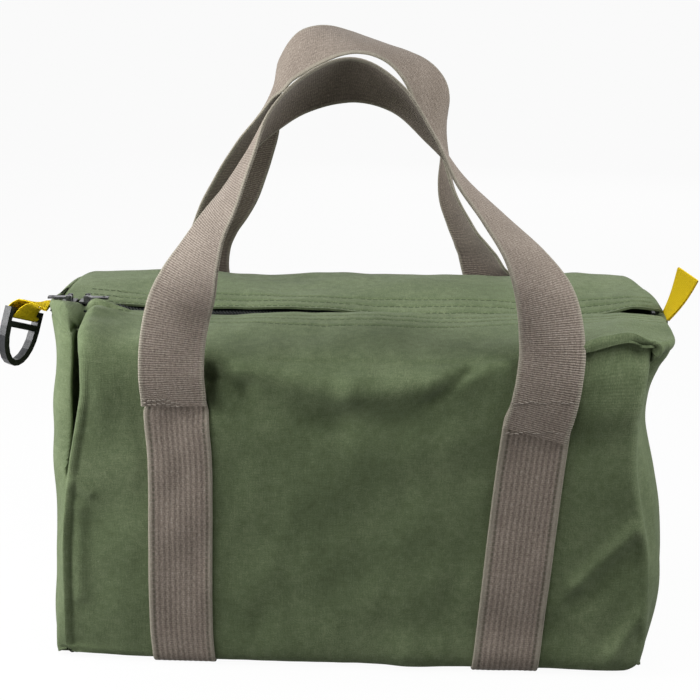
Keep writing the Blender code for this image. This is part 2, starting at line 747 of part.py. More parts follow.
def centre_over_origin():
    """Hang every piece on one empty, moved so that the whole bag stands over the origin."""
    pieces = [item for item in bpy.context.scene.objects if item.type == "MESH"]
    bpy.context.view_layer.update()
    graph = bpy.context.evaluated_depsgraph_get()
    corners = []
    for item in pieces:
        if not item.hide_render:
            seen = item.evaluated_get(graph)
            corners += [seen.matrix_world @ Vector(corner) for corner in seen.bound_box]
    low = [min(corner[axis] for corner in corners) for axis in range(3)]
    high = [max(corner[axis] for corner in corners) for axis in range(3)]
    bag = bpy.data.objects.new("bag", None)
    bpy.context.scene.collection.objects.link(bag)
    for item in pieces:
        item.parent = bag
    bag.location = (-(low[0] + high[0]) / 2, -(low[1] + high[1]) / 2, -low[2])


def build_bag():
    clear_scene()
    canvas = material("green_canvas", CANVAS_COLOUR, 0.9)
    board = material("board_plastic", BOARD_COLOUR, 0.6)
    webbing = material("taupe_webbing", WEBBING_COLOUR, 0.8)
    tape = material("zip_tape", TAPE_COLOUR, 0.85)
    coil = material("zip_coil", TAPE_COLOUR, 0.5)
    metal = material("black_metal", METAL_COLOUR, 0.35, 1.0)
    yellow = material("yellow_webbing", YELLOW_COLOUR, 0.75)
    plastic = material("black_plastic", PLASTIC_COLOUR, 0.35)

    side_panel("front_panel", -1, canvas)
    side_panel("rear_panel", 1, canvas)
    base_panel(canvas)
    base_board(board)
    top_panels(canvas)
    end_panel("left_end_panel", -1, LEFT_END_BULGE, LEFT_END_SWELL_SHARES, canvas)
    end_panel("right_end_panel", 1, RIGHT_END_BULGE, RIGHT_END_SWELL_SHARES, canvas)
    for name, side in (("left", -1), ("right", 1)):
        zip_patch(name + "_zip_patch", side, canvas)
        strap(name + "_strap", side * STRAP_OFFSET, webbing)
    zip_tapes(tape)
    zip_coils(coil)
    end_stops(metal)
    for face, side in (("front", -1), ("rear", 1)):
        for end, x in (("left", -STRAP_OFFSET), ("right", STRAP_OFFSET)):
            handle_foot(face + "_" + end + "_foot", side, x, webbing)
    carrying_loop("front_handle", -1, FRONT_LOOP_RISE, FRONT_LOOP_LEAN, FRONT_LOOP_TILT_DEGREES, webbing)
    carrying_loop("rear_handle", 1, REAR_LOOP_RISE, REAR_LOOP_LEAN, REAR_LOOP_TILT_DEGREES, webbing)
    for number in (1, 2):
        slider(number, slider_place(number), metal)
        pull(number, slider_place(number), -1 if number == 1 else 1, metal)
    left_tab(yellow)
    d_ring(plastic)
    right_tab(yellow)
    centre_over_origin()


build_bag()
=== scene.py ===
"""The looks of the canvas tool bag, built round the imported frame.

Tables of shapes are in millimetres in the bag's own axes: X along the bag from its middle,
-Y the front, Z up from the ground. place() turns them into the frame's metres.
"""

import math

import bmesh
import bpy
import numpy as np
from mathutils import Matrix, Vector


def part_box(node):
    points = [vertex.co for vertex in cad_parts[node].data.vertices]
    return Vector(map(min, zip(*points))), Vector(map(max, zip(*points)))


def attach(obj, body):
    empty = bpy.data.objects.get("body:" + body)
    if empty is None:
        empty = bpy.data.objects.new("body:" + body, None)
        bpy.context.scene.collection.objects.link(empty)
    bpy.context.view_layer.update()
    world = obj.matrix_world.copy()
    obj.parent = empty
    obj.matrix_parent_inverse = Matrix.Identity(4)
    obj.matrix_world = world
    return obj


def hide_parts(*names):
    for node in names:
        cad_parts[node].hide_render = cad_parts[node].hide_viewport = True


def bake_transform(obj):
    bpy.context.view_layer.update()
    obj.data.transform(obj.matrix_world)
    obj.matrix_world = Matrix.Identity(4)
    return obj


MM = 0.001
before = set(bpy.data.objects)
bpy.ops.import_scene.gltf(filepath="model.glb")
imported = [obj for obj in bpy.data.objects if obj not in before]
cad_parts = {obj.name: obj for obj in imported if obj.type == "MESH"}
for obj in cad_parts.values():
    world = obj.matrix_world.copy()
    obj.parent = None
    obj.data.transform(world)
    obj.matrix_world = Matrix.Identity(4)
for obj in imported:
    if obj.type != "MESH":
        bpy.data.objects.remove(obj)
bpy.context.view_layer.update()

# The bag's middle in the frame
panel_low, panel_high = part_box("front_panel")
_, rear_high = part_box("rear_panel")
MIDDLE = np.array([(panel_low.x + panel_high.x) / 2, (panel_low.y + rear_high.y) / 2, 0.0])

RIGHT, LEFT = 1, -1
FRONT, REAR = -1, 1
CANVAS_THICK = 1.4


def place(points):
    return np.asarray(points, float) * MM + MIDDLE


def table(width, text):
    """Numbers written as text, width of them to a row. A # starts a comment."""
    numbers = " ".join(line.split("#")[0] for line in text.splitlines()).split()
    return np.array(numbers, float).reshape(-1, width)


def put(name, data):
    made = bpy.data.objects.new(name, data)
    bpy.context.scene.collection.objects.link(made)
    return made


# Curves and noise


def together(*values):
    """The values as arrays of one shape."""
    return np.broadcast_arrays(*(np.asarray(v, float) for v in values))


def smooth_table(keys, values, at):
    """Cubic through a table of values, with flat ends."""
    if values.ndim == 1:
        values = values[:, None]
    at = np.clip(np.asarray(at, float), keys[0], keys[-1])
    k = np.clip(np.searchsorted(keys, at, side="right") - 1, 0, len(keys) - 2)
    slope = np.gradient(values, keys, axis=0)
    slope[1:-1] = (values[2:] - values[:-2]) / (keys[2:] - keys[:-2])[:, None]
    gap = (keys[k + 1] - keys[k])[..., None]
    t = (at - keys[k])[..., None] / gap
    a, b = values[k], values[k + 1]
    ma, mb = slope[k] * gap, slope[k + 1] * gap
    out = (
        a * (2 * t**3 - 3 * t**2 + 1) + ma * (t**3 - 2 * t**2 + t)
        + b * (-2 * t**3 + 3 * t**2) + mb * (t**3 - t**2)
    )
    return out[..., 0] if out.shape[-1] == 1 else out


def smooth_pairs(pairs, at):
    """The same, through rows of a place and its value."""
    return smooth_table(pairs[:, 0], pairs[:, 1], at)


def ease(low, high, at):
    """From 0 at low to 1 at high, with no sudden turn."""
    t = np.clip((np.asarray(at, float) - low) / (high - low), 0, 1)
    return t * t * (3 - 2 * t)


def along(points):
    """Running length along a line of points."""
    return np.concatenate([[0], np.cumsum(np.linalg.norm(np.diff(points, axis=0), axis=1))])


def unit(vectors):
    return vectors / np.maximum(np.linalg.norm(vectors, axis=-1, keepdims=True), 1e-9)


def square_to(width, run):
    """The direction nearest to width at a right angle to run."""
    return unit(width - run * np.sum(width * run, axis=-1, keepdims=True))


def ripples(seed, count, short, long, size):
    """A fixed set of soft waves over a sheet, as rows of two wave numbers, phase and height."""
    rng = np.random.default_rng(seed)
    waves = []
    for _ in range(count):
        length = short * (long / short) ** rng.random()
        angle = rng.random() * math.pi
        number = 2 * math.pi / length
        height = size * length / long
        waves.append((number * math.cos(angle), number * math.sin(angle), rng.random() * 6.28, height))
    return waves


def ripple(waves, u, v):
    out = np.zeros(np.broadcast(u, v).shape)
    for a, b, phase, height in waves:
        out = out + height * np.sin(a * u + b * v + phase)
    return out


def fold(x, l, ax, al, bx, bl, width, height):
    """A ridge (or, with a height below zero, a dent) along a line from a to b on a sheet."""
    dx, dl = bx - ax, bl - al
    length = dx * dx + dl * dl
    t = np.clip(((x - ax) * dx + (l - al) * dl) / max(length, 1e-9), 0, 1)
    away = (x - ax - t * dx) ** 2 + (l - al - t * dl) ** 2
    return height * np.exp(-away / (width * width))


# The front and rear sheets

# Profiles up a wall and in over the top to the zip: outward, up. Places up a sheet are lengths on these.
FRONT_PROFILE = table(2, """
    83 1.8   87 1.9   90.2 7   91 30   91.6 78   91 122   91.8 154   91.6 168   89.8 176.5   86.3 184.2
    82.5 190.5   77 194.6   66 196.8   42 199   20 200   4.5 200
""")
REAR_PROFILE = table(2, """
    81 2.4   85.6 3.4   88 7.5   89.6 30   91.6 78   91.8 122   91.4 160   89.8 184   86.3 198.8
    82 202.4   70 204   50 204.5   25 203   4.5 201
""")
HINGE_OUT = 86.3

# How the last points of the front profile lie at places along the bag, which comes first in each row:
# the ends stand up, the middle sags
FRONT_STATIONS = table(21, """
    -176 88 154 88 170 87 182 84.5 191 80.5 198 74 203 63 206 42 207 20 205 4.5 204.5
    -158 90.5 154 90.8 170 90.2 182 87.8 191 83.5 198 76 203.5 64 206.5 42 207.5 20 205.5 4.5 205.2
    -140 91.4 154 91.6 169.5 90.8 180.5 88.2 189 83.8 196 76.8 200.6 65 203 42 203.8 20 201 4.5 199
    -105 91.8 154 92 168.5 91 178.5 87.8 186.5 83 193 76.5 197 65 199.2 42 200 20 199 4.5 197.6
    -66 91.8 154 91.8 169 91 179.5 88.4 186 84.4 190.6 78 194 66 196.6 42 198.2 20 198.4 4.5 197.7
    -28 91.9 154 92 167 91.2 176 87.6 183.2 83 188 76.8 192.2 65.5 195.4 42 197.8 20 198.4 4.5 198
    2 91.9 154 92.2 165.5 91.4 173.6 86.6 182.4 82.2 187 76 191.2 65 194.9 42 197.6 20 198.6 4.5 198.3
    45 91.9 154 92 168 91.3 177 87.8 183.8 83.2 188.6 77 192.6 65.6 195.8 42 198.2 20 199 4.5 198.6
    70 91.8 154 91.9 170 91.3 181 88.6 186.6 84.2 191.2 77.6 194.4 66 197 42 199 20 199.4 4.5 198.9
    92 91.8 154 91.8 171 91 184 88.4 192 84.2 196 77.8 198.2 66 199.8 42 200.2 20 199.9 4.5 199.1
    134 91 154 91 172 89.8 187 86 202.4 82.2 204 76.7 205.2 65.5 205 42 203.4 20 201 4.5 199.8
    160 90 154 89.6 172 87 191 82 208.2 78.6 209.6 73 210.2 62.5 209 42 206.3 20 203 4.5 201
    175 89 154 88.2 172 85.8 189 82 204.6 79 206.2 73.8 207 63 206.6 42 204.8 20 202.4 4.5 201
    192 88 154 86.5 172 84.4 188 81 203.6 78.2 205 73 205.6 62.6 204.8 42 202.6 20 200.6 4.5 199.2
""")
# The rear sheet changes only near the zip
REAR_STATIONS = table(5, """
    -186 25 203.6 4.5 202.2   -150 25 203 4.5 200.8   -97 25 202.2 4.5 199.2   -34 25 201.6 4.5 198
    29 25 201.4 4.5 197.6   91 25 201.8 4.5 198   153 25 203 4.5 199.8   173 25 204.4 4.5 203.2
    195 25 203 4.5 201.6
""")

# Height of a point of the profile: how far left and right the sheet reaches there
FRONT_REACH = table(3, """
    2.4 -169 172   6 -171.5 176.5   14 -171.5 178.5   35 -171.5 180.5   60 -171.2 180   85 -170 177
    100 -168.5 173.5   126 -165 169.5   150 -160.5 168.5   160 -158 169.5   170 -156.5 171.5
    186 -157 175.5
""")
FRONT_TOP_REACH = table(3, """
    86.3 -157 176   80 -158.5 184   72 -160 188   60 -161.5 190.5   40 -162 191.5   24 -162.5 192
    15 -165 192.5   4.5 -167 193
""")
REAR_REACH = table(3, """
    2.4 -172 174   8 -175.5 177.5   30 -176 178   80 -176 178   130 -176 178   180 -176.5 177.5
    199 -178 177
""")
REAR_TOP_REACH = table(3, """
    86.3 -178.5 176.5   80 -181.5 181   65 -184 184.5   40 -185.5 189   20 -186.5 192   4.5 -187 193
""")
ROLL_SHARE = 0.10  # of half the sheet
ROLL_SMOOTH = 1.6  # the turn in radians from which a rolled edge has no folds
BOTTOM_FADE = (-4, 14)  # folds fade out between these lengths, at the bottom edge

# Rolled edges where the sheet turns in to its end seams: share of the length, radius, turn in degrees
ROLL = {
    (FRONT, LEFT): table(3, """
        0 5 80   0.15 5 95   0.36 5.5 115   0.5 6 140   0.62 6 150   0.75 7 140   0.88 7 105
        0.95 6.5 85   1 6.5 70"""),
    (FRONT, RIGHT): table(3, """
        0 5 80   0.15 6 100   0.4 7 110   0.58 8 120   0.66 7 120   0.72 5 150   1 4.5 120"""),
    (REAR, LEFT): table(3, """
        0 5 80   0.2 6 95   0.7 6 95   1 5 90"""),
    (REAR, RIGHT): table(3, """
        0 5 80   0.2 6 95   0.7 6 95   1 4.5 120"""),
}


def build_wall(side, profile, stations, reach, top_reach, folds, waves):
    length = along(profile)
    hinge = int(np.argmin(np.abs(profile[:, 0] - HINGE_OUT) + (profile[:, 1] < 100) * 100))
    up = smooth_table(reach[:, 0], reach[:, 1:], profile[: hinge + 1, 1])
    across = smooth_table(top_reach[::-1, 0], top_reach[::-1, 1:], profile[hinge + 1:, 0])
    ends = stations[:, 1:].reshape(len(stations), -1, 2)
    fixed = profile[: len(profile) - ends.shape[1]]
    shapes = np.array([np.vstack([fixed, end]) for end in ends])
    return {
        "side": side, "length": length, "edges": np.vstack([up, across]), "folds": folds, "waves": waves,
        "hinge": length[hinge], "total": length[-1], "station_x": stations[:, 0],
        "shapes": shapes.transpose(1, 0, 2).reshape(len(profile), -1),
    }


def profile_at(wall, x, l):
    """The profile's point (outward, up) at a place along the bag and a length up the sheet."""
    x, l = together(x, l)
    count = len(wall["station_x"])
    share = smooth_table(wall["station_x"], np.eye(count), x)
    points = smooth_table(wall["length"], wall["shapes"], l)
    points = points.reshape(points.shape[:-1] + (count, 2))
    return np.einsum("...k,...kc->...c", share, points)


def profile_out(wall, x, l):
    """The outward direction of the profile there."""
    ahead, behind = (profile_at(wall, x, np.clip(l + step, 0, wall["total"])) for step in (0.6, -0.6))
    d = unit(ahead - behind)
    return np.stack([d[..., 1], -d[..., 0]], -1)


def rolls(wall, l):
    """Radius and turn of the left and the right rolled edge at a length up the sheet."""
    share = l / wall["total"]
    out = []
    for end in (LEFT, RIGHT):
        rows = ROLL[wall["side"], end]
        got = smooth_table(rows[:, 0], rows[:, 1:], share)
        out.append((got[..., 0], np.radians(got[..., 1])))
    return out


def flat_reach(wall, l):
    """Where the flat stretch starts and ends at a length up the sheet, and the rolled edges there."""
    edges = smooth_table(wall["length"], wall["edges"], l)
    left, right = rolls(wall, l)
    return edges[..., 0] + left[0], edges[..., 1] - right[0], left, right


def lift(wall, x, l):
    """How far a point stands off the plain profile: bulges, folds, seams and soft waves."""
    out = ripple(wall["waves"], x, l)
    for one in wall["folds"]:
        out = out + fold(x, l, *one)
    return out * ease(*BOTTOM_FADE, l)


def wall_point(wall, s, l):
    """A point of a wall sheet, s from -1 to 1 along the bag, l up its profile."""
    s, l = together(s, l)
    low, high, (left_r, left_turn), (right_r, right_turn) = flat_reach(wall, l)
    mid = np.clip((s + 1 - ROLL_SHARE) / (2 - 2 * ROLL_SHARE), 0, 1)
    flat_x = low + (high - low) * mid
    left = np.clip(1 - (s + 1) / ROLL_SHARE, 0, 1) * left_turn
    right = np.clip(1 - (1 - s) / ROLL_SHARE, 0, 1) * right_turn
    x = flat_x - left_r * np.sin(left) + right_r * np.sin(right)
    sink = left_r * (1 - np.cos(left)) + right_r * (1 - np.cos(right))
    out = profile_out(wall, flat_x, l)
    fade = np.clip(1 - left / ROLL_SMOOTH, 0, 1) * np.clip(1 - right / ROLL_SMOOTH, 0, 1)
    rise = lift(wall, flat_x, l) * fade - sink
    yz = profile_at(wall, flat_x, l) + out * rise[..., None]
    return np.stack([x, wall["side"] * yz[..., 0], yz[..., 1]], -1)


def wall_normal(wall, s, l):
    step_s, step_l = 0.002, 0.4
    total = wall["total"]
    right, left = (wall_point(wall, np.clip(s + step, -1, 1), l) for step in (step_s, -step_s))
    above, below = (wall_point(wall, s, np.clip(l + step, 0, total)) for step in (step_l, -step_l))
    return unit(np.cross(right - left, above - below) * -wall["side"])


def s_of_x(wall, x, l):
    """The place along the bag whose X is x, away from the rolled edges."""
    x, l = together(x, l)
    low, high, _, _ = flat_reach(wall, l)
    return -1 + ROLL_SHARE + (2 - 2 * ROLL_SHARE) * (x - low) / (high - low)


# Meshes


def face_grid(rows, columns, offset, flip, wrap=False):
    """Corner numbers of the quads of a grid of points."""
    r, c = np.meshgrid(np.arange(rows - 1), np.arange(columns if wrap else columns - 1), indexing="ij")
    c2 = (c + 1) % columns
    quads = np.stack([r * columns + c, r * columns + c2, (r + 1) * columns + c2, (r + 1) * columns + c], -1)
    quads = quads.reshape(-1, 4) + offset
    return quads[:, ::-1] if flip else quads


def make_mesh(name, points, quads, uv, look, sharp=40, normals=None):
    """points in metres in the frame; uv in metres, one for each point."""
    mesh = bpy.data.meshes.new(name)
    mesh.from_pydata(points.tolist(), [], [tuple(q) for q in quads.tolist()])
    layer = mesh.uv_layers.new(name="cloth")
    corners = np.zeros(len(mesh.loops), np.int32)
    mesh.loops.foreach_get("vertex_index", corners)
    layer.data.foreach_set("uv", np.asarray(uv, np.float32)[corners].ravel())
    mesh.materials.append(look)
    made = put(name, mesh)
    mesh.shade_smooth()
    mesh.set_sharp_from_angle(angle=math.radians(sharp))
    if normals is not None:
        mesh.normals_split_custom_set(normals.tolist())
    return made


def shell(name, p, n, uv, look, thickness=CANVAS_THICK):
    """A cloth shell: outer grid p with normals n, an inner grid under it, and its rim."""
    rows, columns = p.shape[:2]
    count = rows * columns
    points = place(np.concatenate([p.reshape(-1, 3), (p - n * thickness).reshape(-1, 3)]))
    r, c = rows // 2, columns // 2
    flip = np.dot(np.cross(p[r, c + 1] - p[r, c], p[r + 1, c] - p[r, c]), n[r, c]) < 0
    outer = face_grid(rows, columns, 0, flip)
    inner = face_grid(rows, columns, count, not flip)
    ids = np.arange(count).reshape(rows, columns)
    ring = np.concatenate([ids[0, :-1], ids[:-1, -1], ids[-1, :0:-1], ids[:0:-1, 0]])
    after = np.roll(ring, -1)
    rim = np.stack([ring, ring + count, after + count, after], -1)
    if flip:
        rim = rim[:, ::-1]
    a, b, c, d = (points[rim[:, k]] for k in range(4))
    rim_normals = unit(np.cross(c - a, d - b) / MM**2)
    flat = n.reshape(-1, 3)
    sides = (flat[outer.ravel()], -flat[inner.ravel() - count], np.repeat(rim_normals, 4, axis=0))
    both = np.tile(uv.reshape(-1, 2), (2, 1)) * MM
    quads = np.concatenate([outer, inner, rim])
    return make_mesh(name, points, quads, both, look, normals=np.concatenate(sides))


def wall_shell(name, wall, s_values, l_values, look):
    s, l = np.meshgrid(s_values, l_values)
    p = wall_point(wall, s, l)
    n = wall_normal(wall, s, l)
    edge = along(p[len(p) // 2])
    uv = np.stack([np.tile(edge - edge[len(edge) // 2], (len(p), 1)), l * wall["side"]], -1)
    return shell(name, p, n, uv, look)


def beads(name, centres, runs, ups, half_sizes, look):
    """Many small rounded bars: stitches or zip teeth, each along its own run."""
    centres, runs, ups = (np.asarray(v, float) for v in (centres, runs, ups))
    runs = unit(runs)
    sides = unit(np.cross(ups, runs))
    ups = np.cross(runs, sides)
    half_length, half_width, half_height = half_sizes
    corners = 6
    angle = 2 * math.pi * np.arange(corners) / corners
    rings = ((-1.0, 0.45), (-0.72, 1.0), (0.72, 1.0), (1.0, 0.45))
    points = []
    for t, size in rings:
        for a in angle:
            points.append(
                centres + runs * half_length * t
                + sides * half_width * size * math.cos(a) + ups * half_height * size * math.sin(a)
            )
    points = np.stack(points, 1)
    each = points.shape[1]
    one = face_grid(len(rings), corners, 0, False, wrap=True)
    last = (len(rings) - 1) * corners
    far_caps = last + np.array([(0, 1, 2, 3), (0, 3, 4, 5)])
    one = np.concatenate([one, [(3, 2, 1, 0), (5, 4, 3, 0)], far_caps])
    quads = (one[None] + np.arange(len(centres))[:, None, None] * each).reshape(-1, 4)
    flat = points.reshape(-1, 3)
    made = make_mesh(name, place(flat), quads, flat[:, :2] * MM, look, sharp=60)
    turn_outward(made)
    return made


def turn_outward(made):
    work = bmesh.new()
    work.from_mesh(made.data)
    bmesh.ops.recalc_face_normals(work, faces=work.faces)
    work.to_mesh(made.data)
    work.free()


def tube(name, outer, inner, u, v, look, sharp):
    """A strip closed all round, from the grids of its two faces, with u across it and v along it."""
    ring = np.concatenate([outer, inner[:, ::-1]], axis=1)
    rows, count = ring.shape[:2]
    uv = np.zeros((rows, count, 2))
    uv[..., 0] = np.concatenate([u, u[::-1]])
    uv[..., 1] = v[:, None]
    quads = [face_grid(rows, count, 0, False, wrap=True)]
    step = np.arange(len(u) - 1)
    for first in (0, (rows - 1) * count):
        i = first + step
        j = first + count - 1 - step
        quads.append(np.stack([i, i + 1, j - 1, j], -1))
    points = place(ring.reshape(-1, 3))
    made = make_mesh(name, points, np.concatenate(quads), uv.reshape(-1, 2) * MM, look, sharp)
    turn_outward(made)
    return made


def hold(piece, body, slot, *nodes):
    """The piece moves with a body and stands for these nodes of the frame."""
    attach(piece, body)
    if nodes:
        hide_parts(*nodes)


def spaced(low, high, step):
    return np.linspace(low, high, max(int(round((high - low) / step)), 2) + 1)


LEAST_GAP = 0.25  # between two rows


def finer(values, centres, reach, step):
    """More rows near some places, such as seams."""
    values = list(values)
    for centre in centres:
        values += list(spaced(centre - reach, centre + reach, step))
    low, high = values[0], max(values)
    values = np.array(sorted(v for v in values if low <= v <= high))
    keep = [values[0]]
    for v in values[1:]:
        if v - keep[-1] > LEAST_GAP:
            keep.append(v)
    return np.array(keep)


# Materials


def nodes_of(name):
    made = bpy.data.materials.new(name)
    made.use_nodes = True
    tree = made.node_tree
    shader = tree.nodes["Principled BSDF"]
    return made, tree, shader


def add(tree, kind, **settings):
    node = tree.nodes.new(kind)
    for key, value in settings.items():
        setattr(node, key, value)
    return node


def fill(node, values):
    """Set the node's inputs, or link those that come from another node."""
    for key, value in values.items():
        if isinstance(value, bpy.types.NodeSocket):
            node.id_data.links.new(value, node.inputs[key])
        else:
            node.inputs[key].default_value = value
    return node


def finish(shader, colour, normal, roughness, specular, sheen=0.0, sheen_roughness=0.5):
    fill(shader, {
        "Base Color": colour, "Normal": normal, "Roughness": roughness, "Specular IOR Level": specular,
        "Sheen Weight": sheen, "Sheen Roughness": sheen_roughness,
    })


def math_node(tree, operation, *values):
    node = add(tree, "ShaderNodeMath", operation=operation)
    return fill(node, dict(enumerate(values))).outputs[0]


def total_of(tree, *parts):
    """The sum of (value, share) parts."""
    out = None
    for value, share in parts:
        one = math_node(tree, "MULTIPLY", value, share)
        out = one if out is None else math_node(tree, "ADD", out, one)
    return out


def ramp(tree, factor, stops, interpolation="LINEAR"):
    node = add(tree, "ShaderNodeValToRGB")
    node.color_ramp.interpolation = interpolation
    elements = node.color_ramp.elements
    while len(elements) < len(stops):
        elements.new(0.5)
    for element, (position, colour) in zip(elements, stops):
        element.position = position
        element.color = (*colour, 1)
    return fill(node, {"Fac": factor}).outputs["Color"]


BLACK, WHITE = (0, 0, 0), (1, 1, 1)


def mix_colour(tree, factor, a, b):
    node = add(tree, "ShaderNodeMix", data_type="RGBA", clamp_factor=True)
    a, b = ((*v, 1) if isinstance(v, tuple) else v for v in (a, b))
    return fill(node, {0: factor, 6: a, 7: b}).outputs[2]


def cloth_uv(tree, scale_u=1.0, scale_v=1.0):
    """The cloth's own coordinates, in metres along and up the piece."""
    source = add(tree, "ShaderNodeUVMap", uv_map="cloth").outputs[0]
    mapping = add(tree, "ShaderNodeMapping")
    return fill(mapping, {"Vector": source, "Scale": (scale_u, scale_v, 1)}).outputs[0]


def noise(tree, vector, scale, detail=2.0, roughness=0.5):
    node = fill(add(tree, "ShaderNodeTexNoise"), {"Vector": vector, "Scale": scale})
    return fill(node, {"Detail": detail, "Roughness": roughness}).outputs["Fac"]


def wave(tree, vector, scale, direction, distortion=0.0):
    node = add(tree, "ShaderNodeTexWave", wave_type="BANDS", bands_direction=direction, wave_profile="SIN")
    fill(node, {"Vector": vector, "Scale": scale, "Distortion": distortion})
    return fill(node, {"Detail": 2.0, "Detail Scale": 1.5}).outputs["Fac"]


def bump(tree, height, strength, distance, below=None):
    node = fill(add(tree, "ShaderNodeBump"), {"Height": height, "Strength": strength, "Distance": distance})
    if below is not None:
        fill(node, {"Normal": below})
    return node.outputs["Normal"]


WAVE_SCALE_PER_CYCLE = 2 * math.pi / 20  # a wave texture at scale 1 repeats each 2 pi / 20


def cycles(pitch):
    """The scale of a wave texture that repeats each pitch metres."""
    return WAVE_SCALE_PER_CYCLE / pitch


CANVAS_DARK = (0.092, 0.122, 0.058)
CANVAS_MID = (0.140, 0.182, 0.092)
CANVAS_PALE = (0.225, 0.272, 0.152)
LINT = (0.36, 0.40, 0.27)
WARP_PITCH, PICK_PITCH = 0.00085, 0.00095


def canvas_material(name):
    made, tree, shader = nodes_of(name)
    uv = cloth_uv(tree)
    broad = noise(tree, uv, 20.0, 3.0)
    streak_u = noise(tree, cloth_uv(tree, 1.0, 0.14), 1300.0, 3.0, 0.6)
    streak_v = noise(tree, cloth_uv(tree, 0.14, 1.0), 1300.0, 3.0, 0.6)
    streaks = total_of(tree, (streak_u, 0.5), (streak_v, 0.5))
    speck = math_node(tree, "SUBTRACT", noise(tree, uv, 1500.0, 2.0, 0.7), 0.5)
    mottle = noise(tree, uv, 190.0, 4.0, 0.68)
    tone = total_of(tree, (broad, 0.32), (mottle, 0.34), (streaks, 0.34), (speck, 0.45))
    colour = ramp(tree, tone, ((0.34, CANVAS_DARK), (0.50, CANVAS_MID), (0.68, CANVAS_PALE)))
    flecks = noise(tree, cloth_uv(tree, 1.0, 0.55), 260.0, 3.0, 0.8)
    fleck_mask = ramp(tree, flecks, ((0.70, BLACK), (0.77, WHITE)))
    colour = mix_colour(tree, math_node(tree, "MULTIPLY", fleck_mask, 0.5), colour, LINT)
    warp = wave(tree, uv, cycles(WARP_PITCH), "X", 0.6)
    weft = wave(tree, uv, cycles(PICK_PITCH), "Y", 0.6)
    weave = total_of(tree, (warp, 0.45), (weft, 0.45), (streaks, 2.6))
    fine = bump(tree, weave, 0.55, 0.00026)
    soft = bump(tree, noise(tree, uv, 75.0, 3.0), 0.30, 0.0010, fine)
    finish(shader, colour, soft, 0.92, 0.15, 0.08, 0.55)
    return made


WEB_DARK = (0.135, 0.108, 0.088)
WEB_MID = (0.290, 0.240, 0.198)
WEB_PALE = (0.500, 0.435, 0.375)
SELVEDGE = (0.400, 0.380, 0.300)
RIB_PITCH = 0.00317
WEFT_PITCH = 0.00128
HALF_WIDTHS_PER_METRE = 50.0
LOOP_START = 0.4  # where a loop's own length starts in the cloth coordinates, beyond any strap's
ARCH_LENGTH = 0.2

# The inner face of a loop, darkened as painted shade for the shade that falls on it
INNER_FACE = "inner_face"
INNER_PAINTED_SHADE = 0.17

# The rows that sew the straps to the bag: dark olive thread sunk into the webbing
SEW_PITCH = 0.0034
SEWN_SHADE = (0.075, 0.080, 0.050)


def webbing_material(name, rib_share, weft_share, arch_at=None, stitched=False):
    """Woven webbing. arch_at is the middle of a loop, where handling has left it smoother."""
    made, tree, shader = nodes_of(name)
    uv = cloth_uv(tree)
    split = fill(add(tree, "ShaderNodeSeparateXYZ"), {0: uv})
    across = math_node(tree, "MULTIPLY", math_node(tree, "ABSOLUTE", split.outputs[0]), HALF_WIDTHS_PER_METRE)
    edge = ramp(tree, across, ((0.80, BLACK), (0.90, WHITE)))
    ribs = wave(tree, uv, cycles(RIB_PITCH), "X", 0.35)
    weft = math_node(tree, "SUBTRACT", wave(tree, uv, cycles(WEFT_PITCH), "Y", 1.6), 0.5)
    knots = noise(tree, cloth_uv(tree, 0.45, 1.0), 1500.0, 2.0, 0.7)
    grain = noise(tree, cloth_uv(tree, 1.0, 0.30), 1300.0, 3.0, 0.7)
    patch = noise(tree, uv, 60.0, 3.0)
    darker = -0.24 - rib_share / 2
    if arch_at is not None:
        away = math_node(tree, "ABSOLUTE", math_node(tree, "SUBTRACT", split.outputs[1], arch_at))
        share = math_node(tree, "DIVIDE", away, ARCH_LENGTH)
        smoothed = ramp(tree, share, ((0.45, (0.22,) * 3), (0.80, WHITE)), "EASE")
        weft = math_node(tree, "MULTIPLY", weft, smoothed)
        # Painted shade: the inner face of a loop is made darker, standing in for the shade on it
        inner = add(tree, "ShaderNodeAttribute", attribute_name=INNER_FACE)
        painted_inner_shade = math_node(tree, "MULTIPLY", inner.outputs["Fac"], -INNER_PAINTED_SHADE)
        darker = math_node(tree, "ADD", painted_inner_shade, darker)
    tone = total_of(tree, (ribs, rib_share), (weft, weft_share), (knots, 0.62), (grain, 0.66), (patch, 0.18))
    tone = math_node(tree, "ADD", tone, darker)
    colour = ramp(tree, tone, ((0.24, WEB_DARK), (0.50, WEB_MID), (0.80, WEB_PALE)))
    colour = mix_colour(tree, math_node(tree, "MULTIPLY", edge, 0.55), colour, SELVEDGE)
    if stitched:
        line = ramp(tree, across, ((0.73, BLACK), (0.79, WHITE), (0.85, BLACK)))
        dash = ramp(tree, wave(tree, uv, cycles(SEW_PITCH), "Y", 0.4), ((0.15, (0.35,) * 3), (0.40, WHITE)))
        sewn = math_node(tree, "MULTIPLY", math_node(tree, "MULTIPLY", line, dash), 0.65)
        colour = mix_colour(tree, sewn, colour, SEWN_SHADE)
    height = total_of(tree, (weft, 3.0 * weft_share + 0.3), (knots, 0.7), (grain, 0.8))
    finish(shader, colour, bump(tree, height, 0.7, 0.00035), 0.82, 0.22, 0.12, 0.5)
    return made


def plain_cloth(name, dark, pale, pitch, roughness, specular=0.3):
    made, tree, shader = nodes_of(name)
    uv = cloth_uv(tree)
    weave = total_of(tree, *((wave(tree, uv, cycles(pitch), way, 0.4), 1.0) for way in "XY"))
    grain = noise(tree, uv, 700.0, 3.0, 0.6)
    colour = ramp(tree, total_of(tree, (weave, 0.25), (grain, 0.5)), ((0.25, dark), (0.75, pale)))
    finish(shader, colour, bump(tree, weave, 0.5, 0.00025), roughness, specular)
    return made


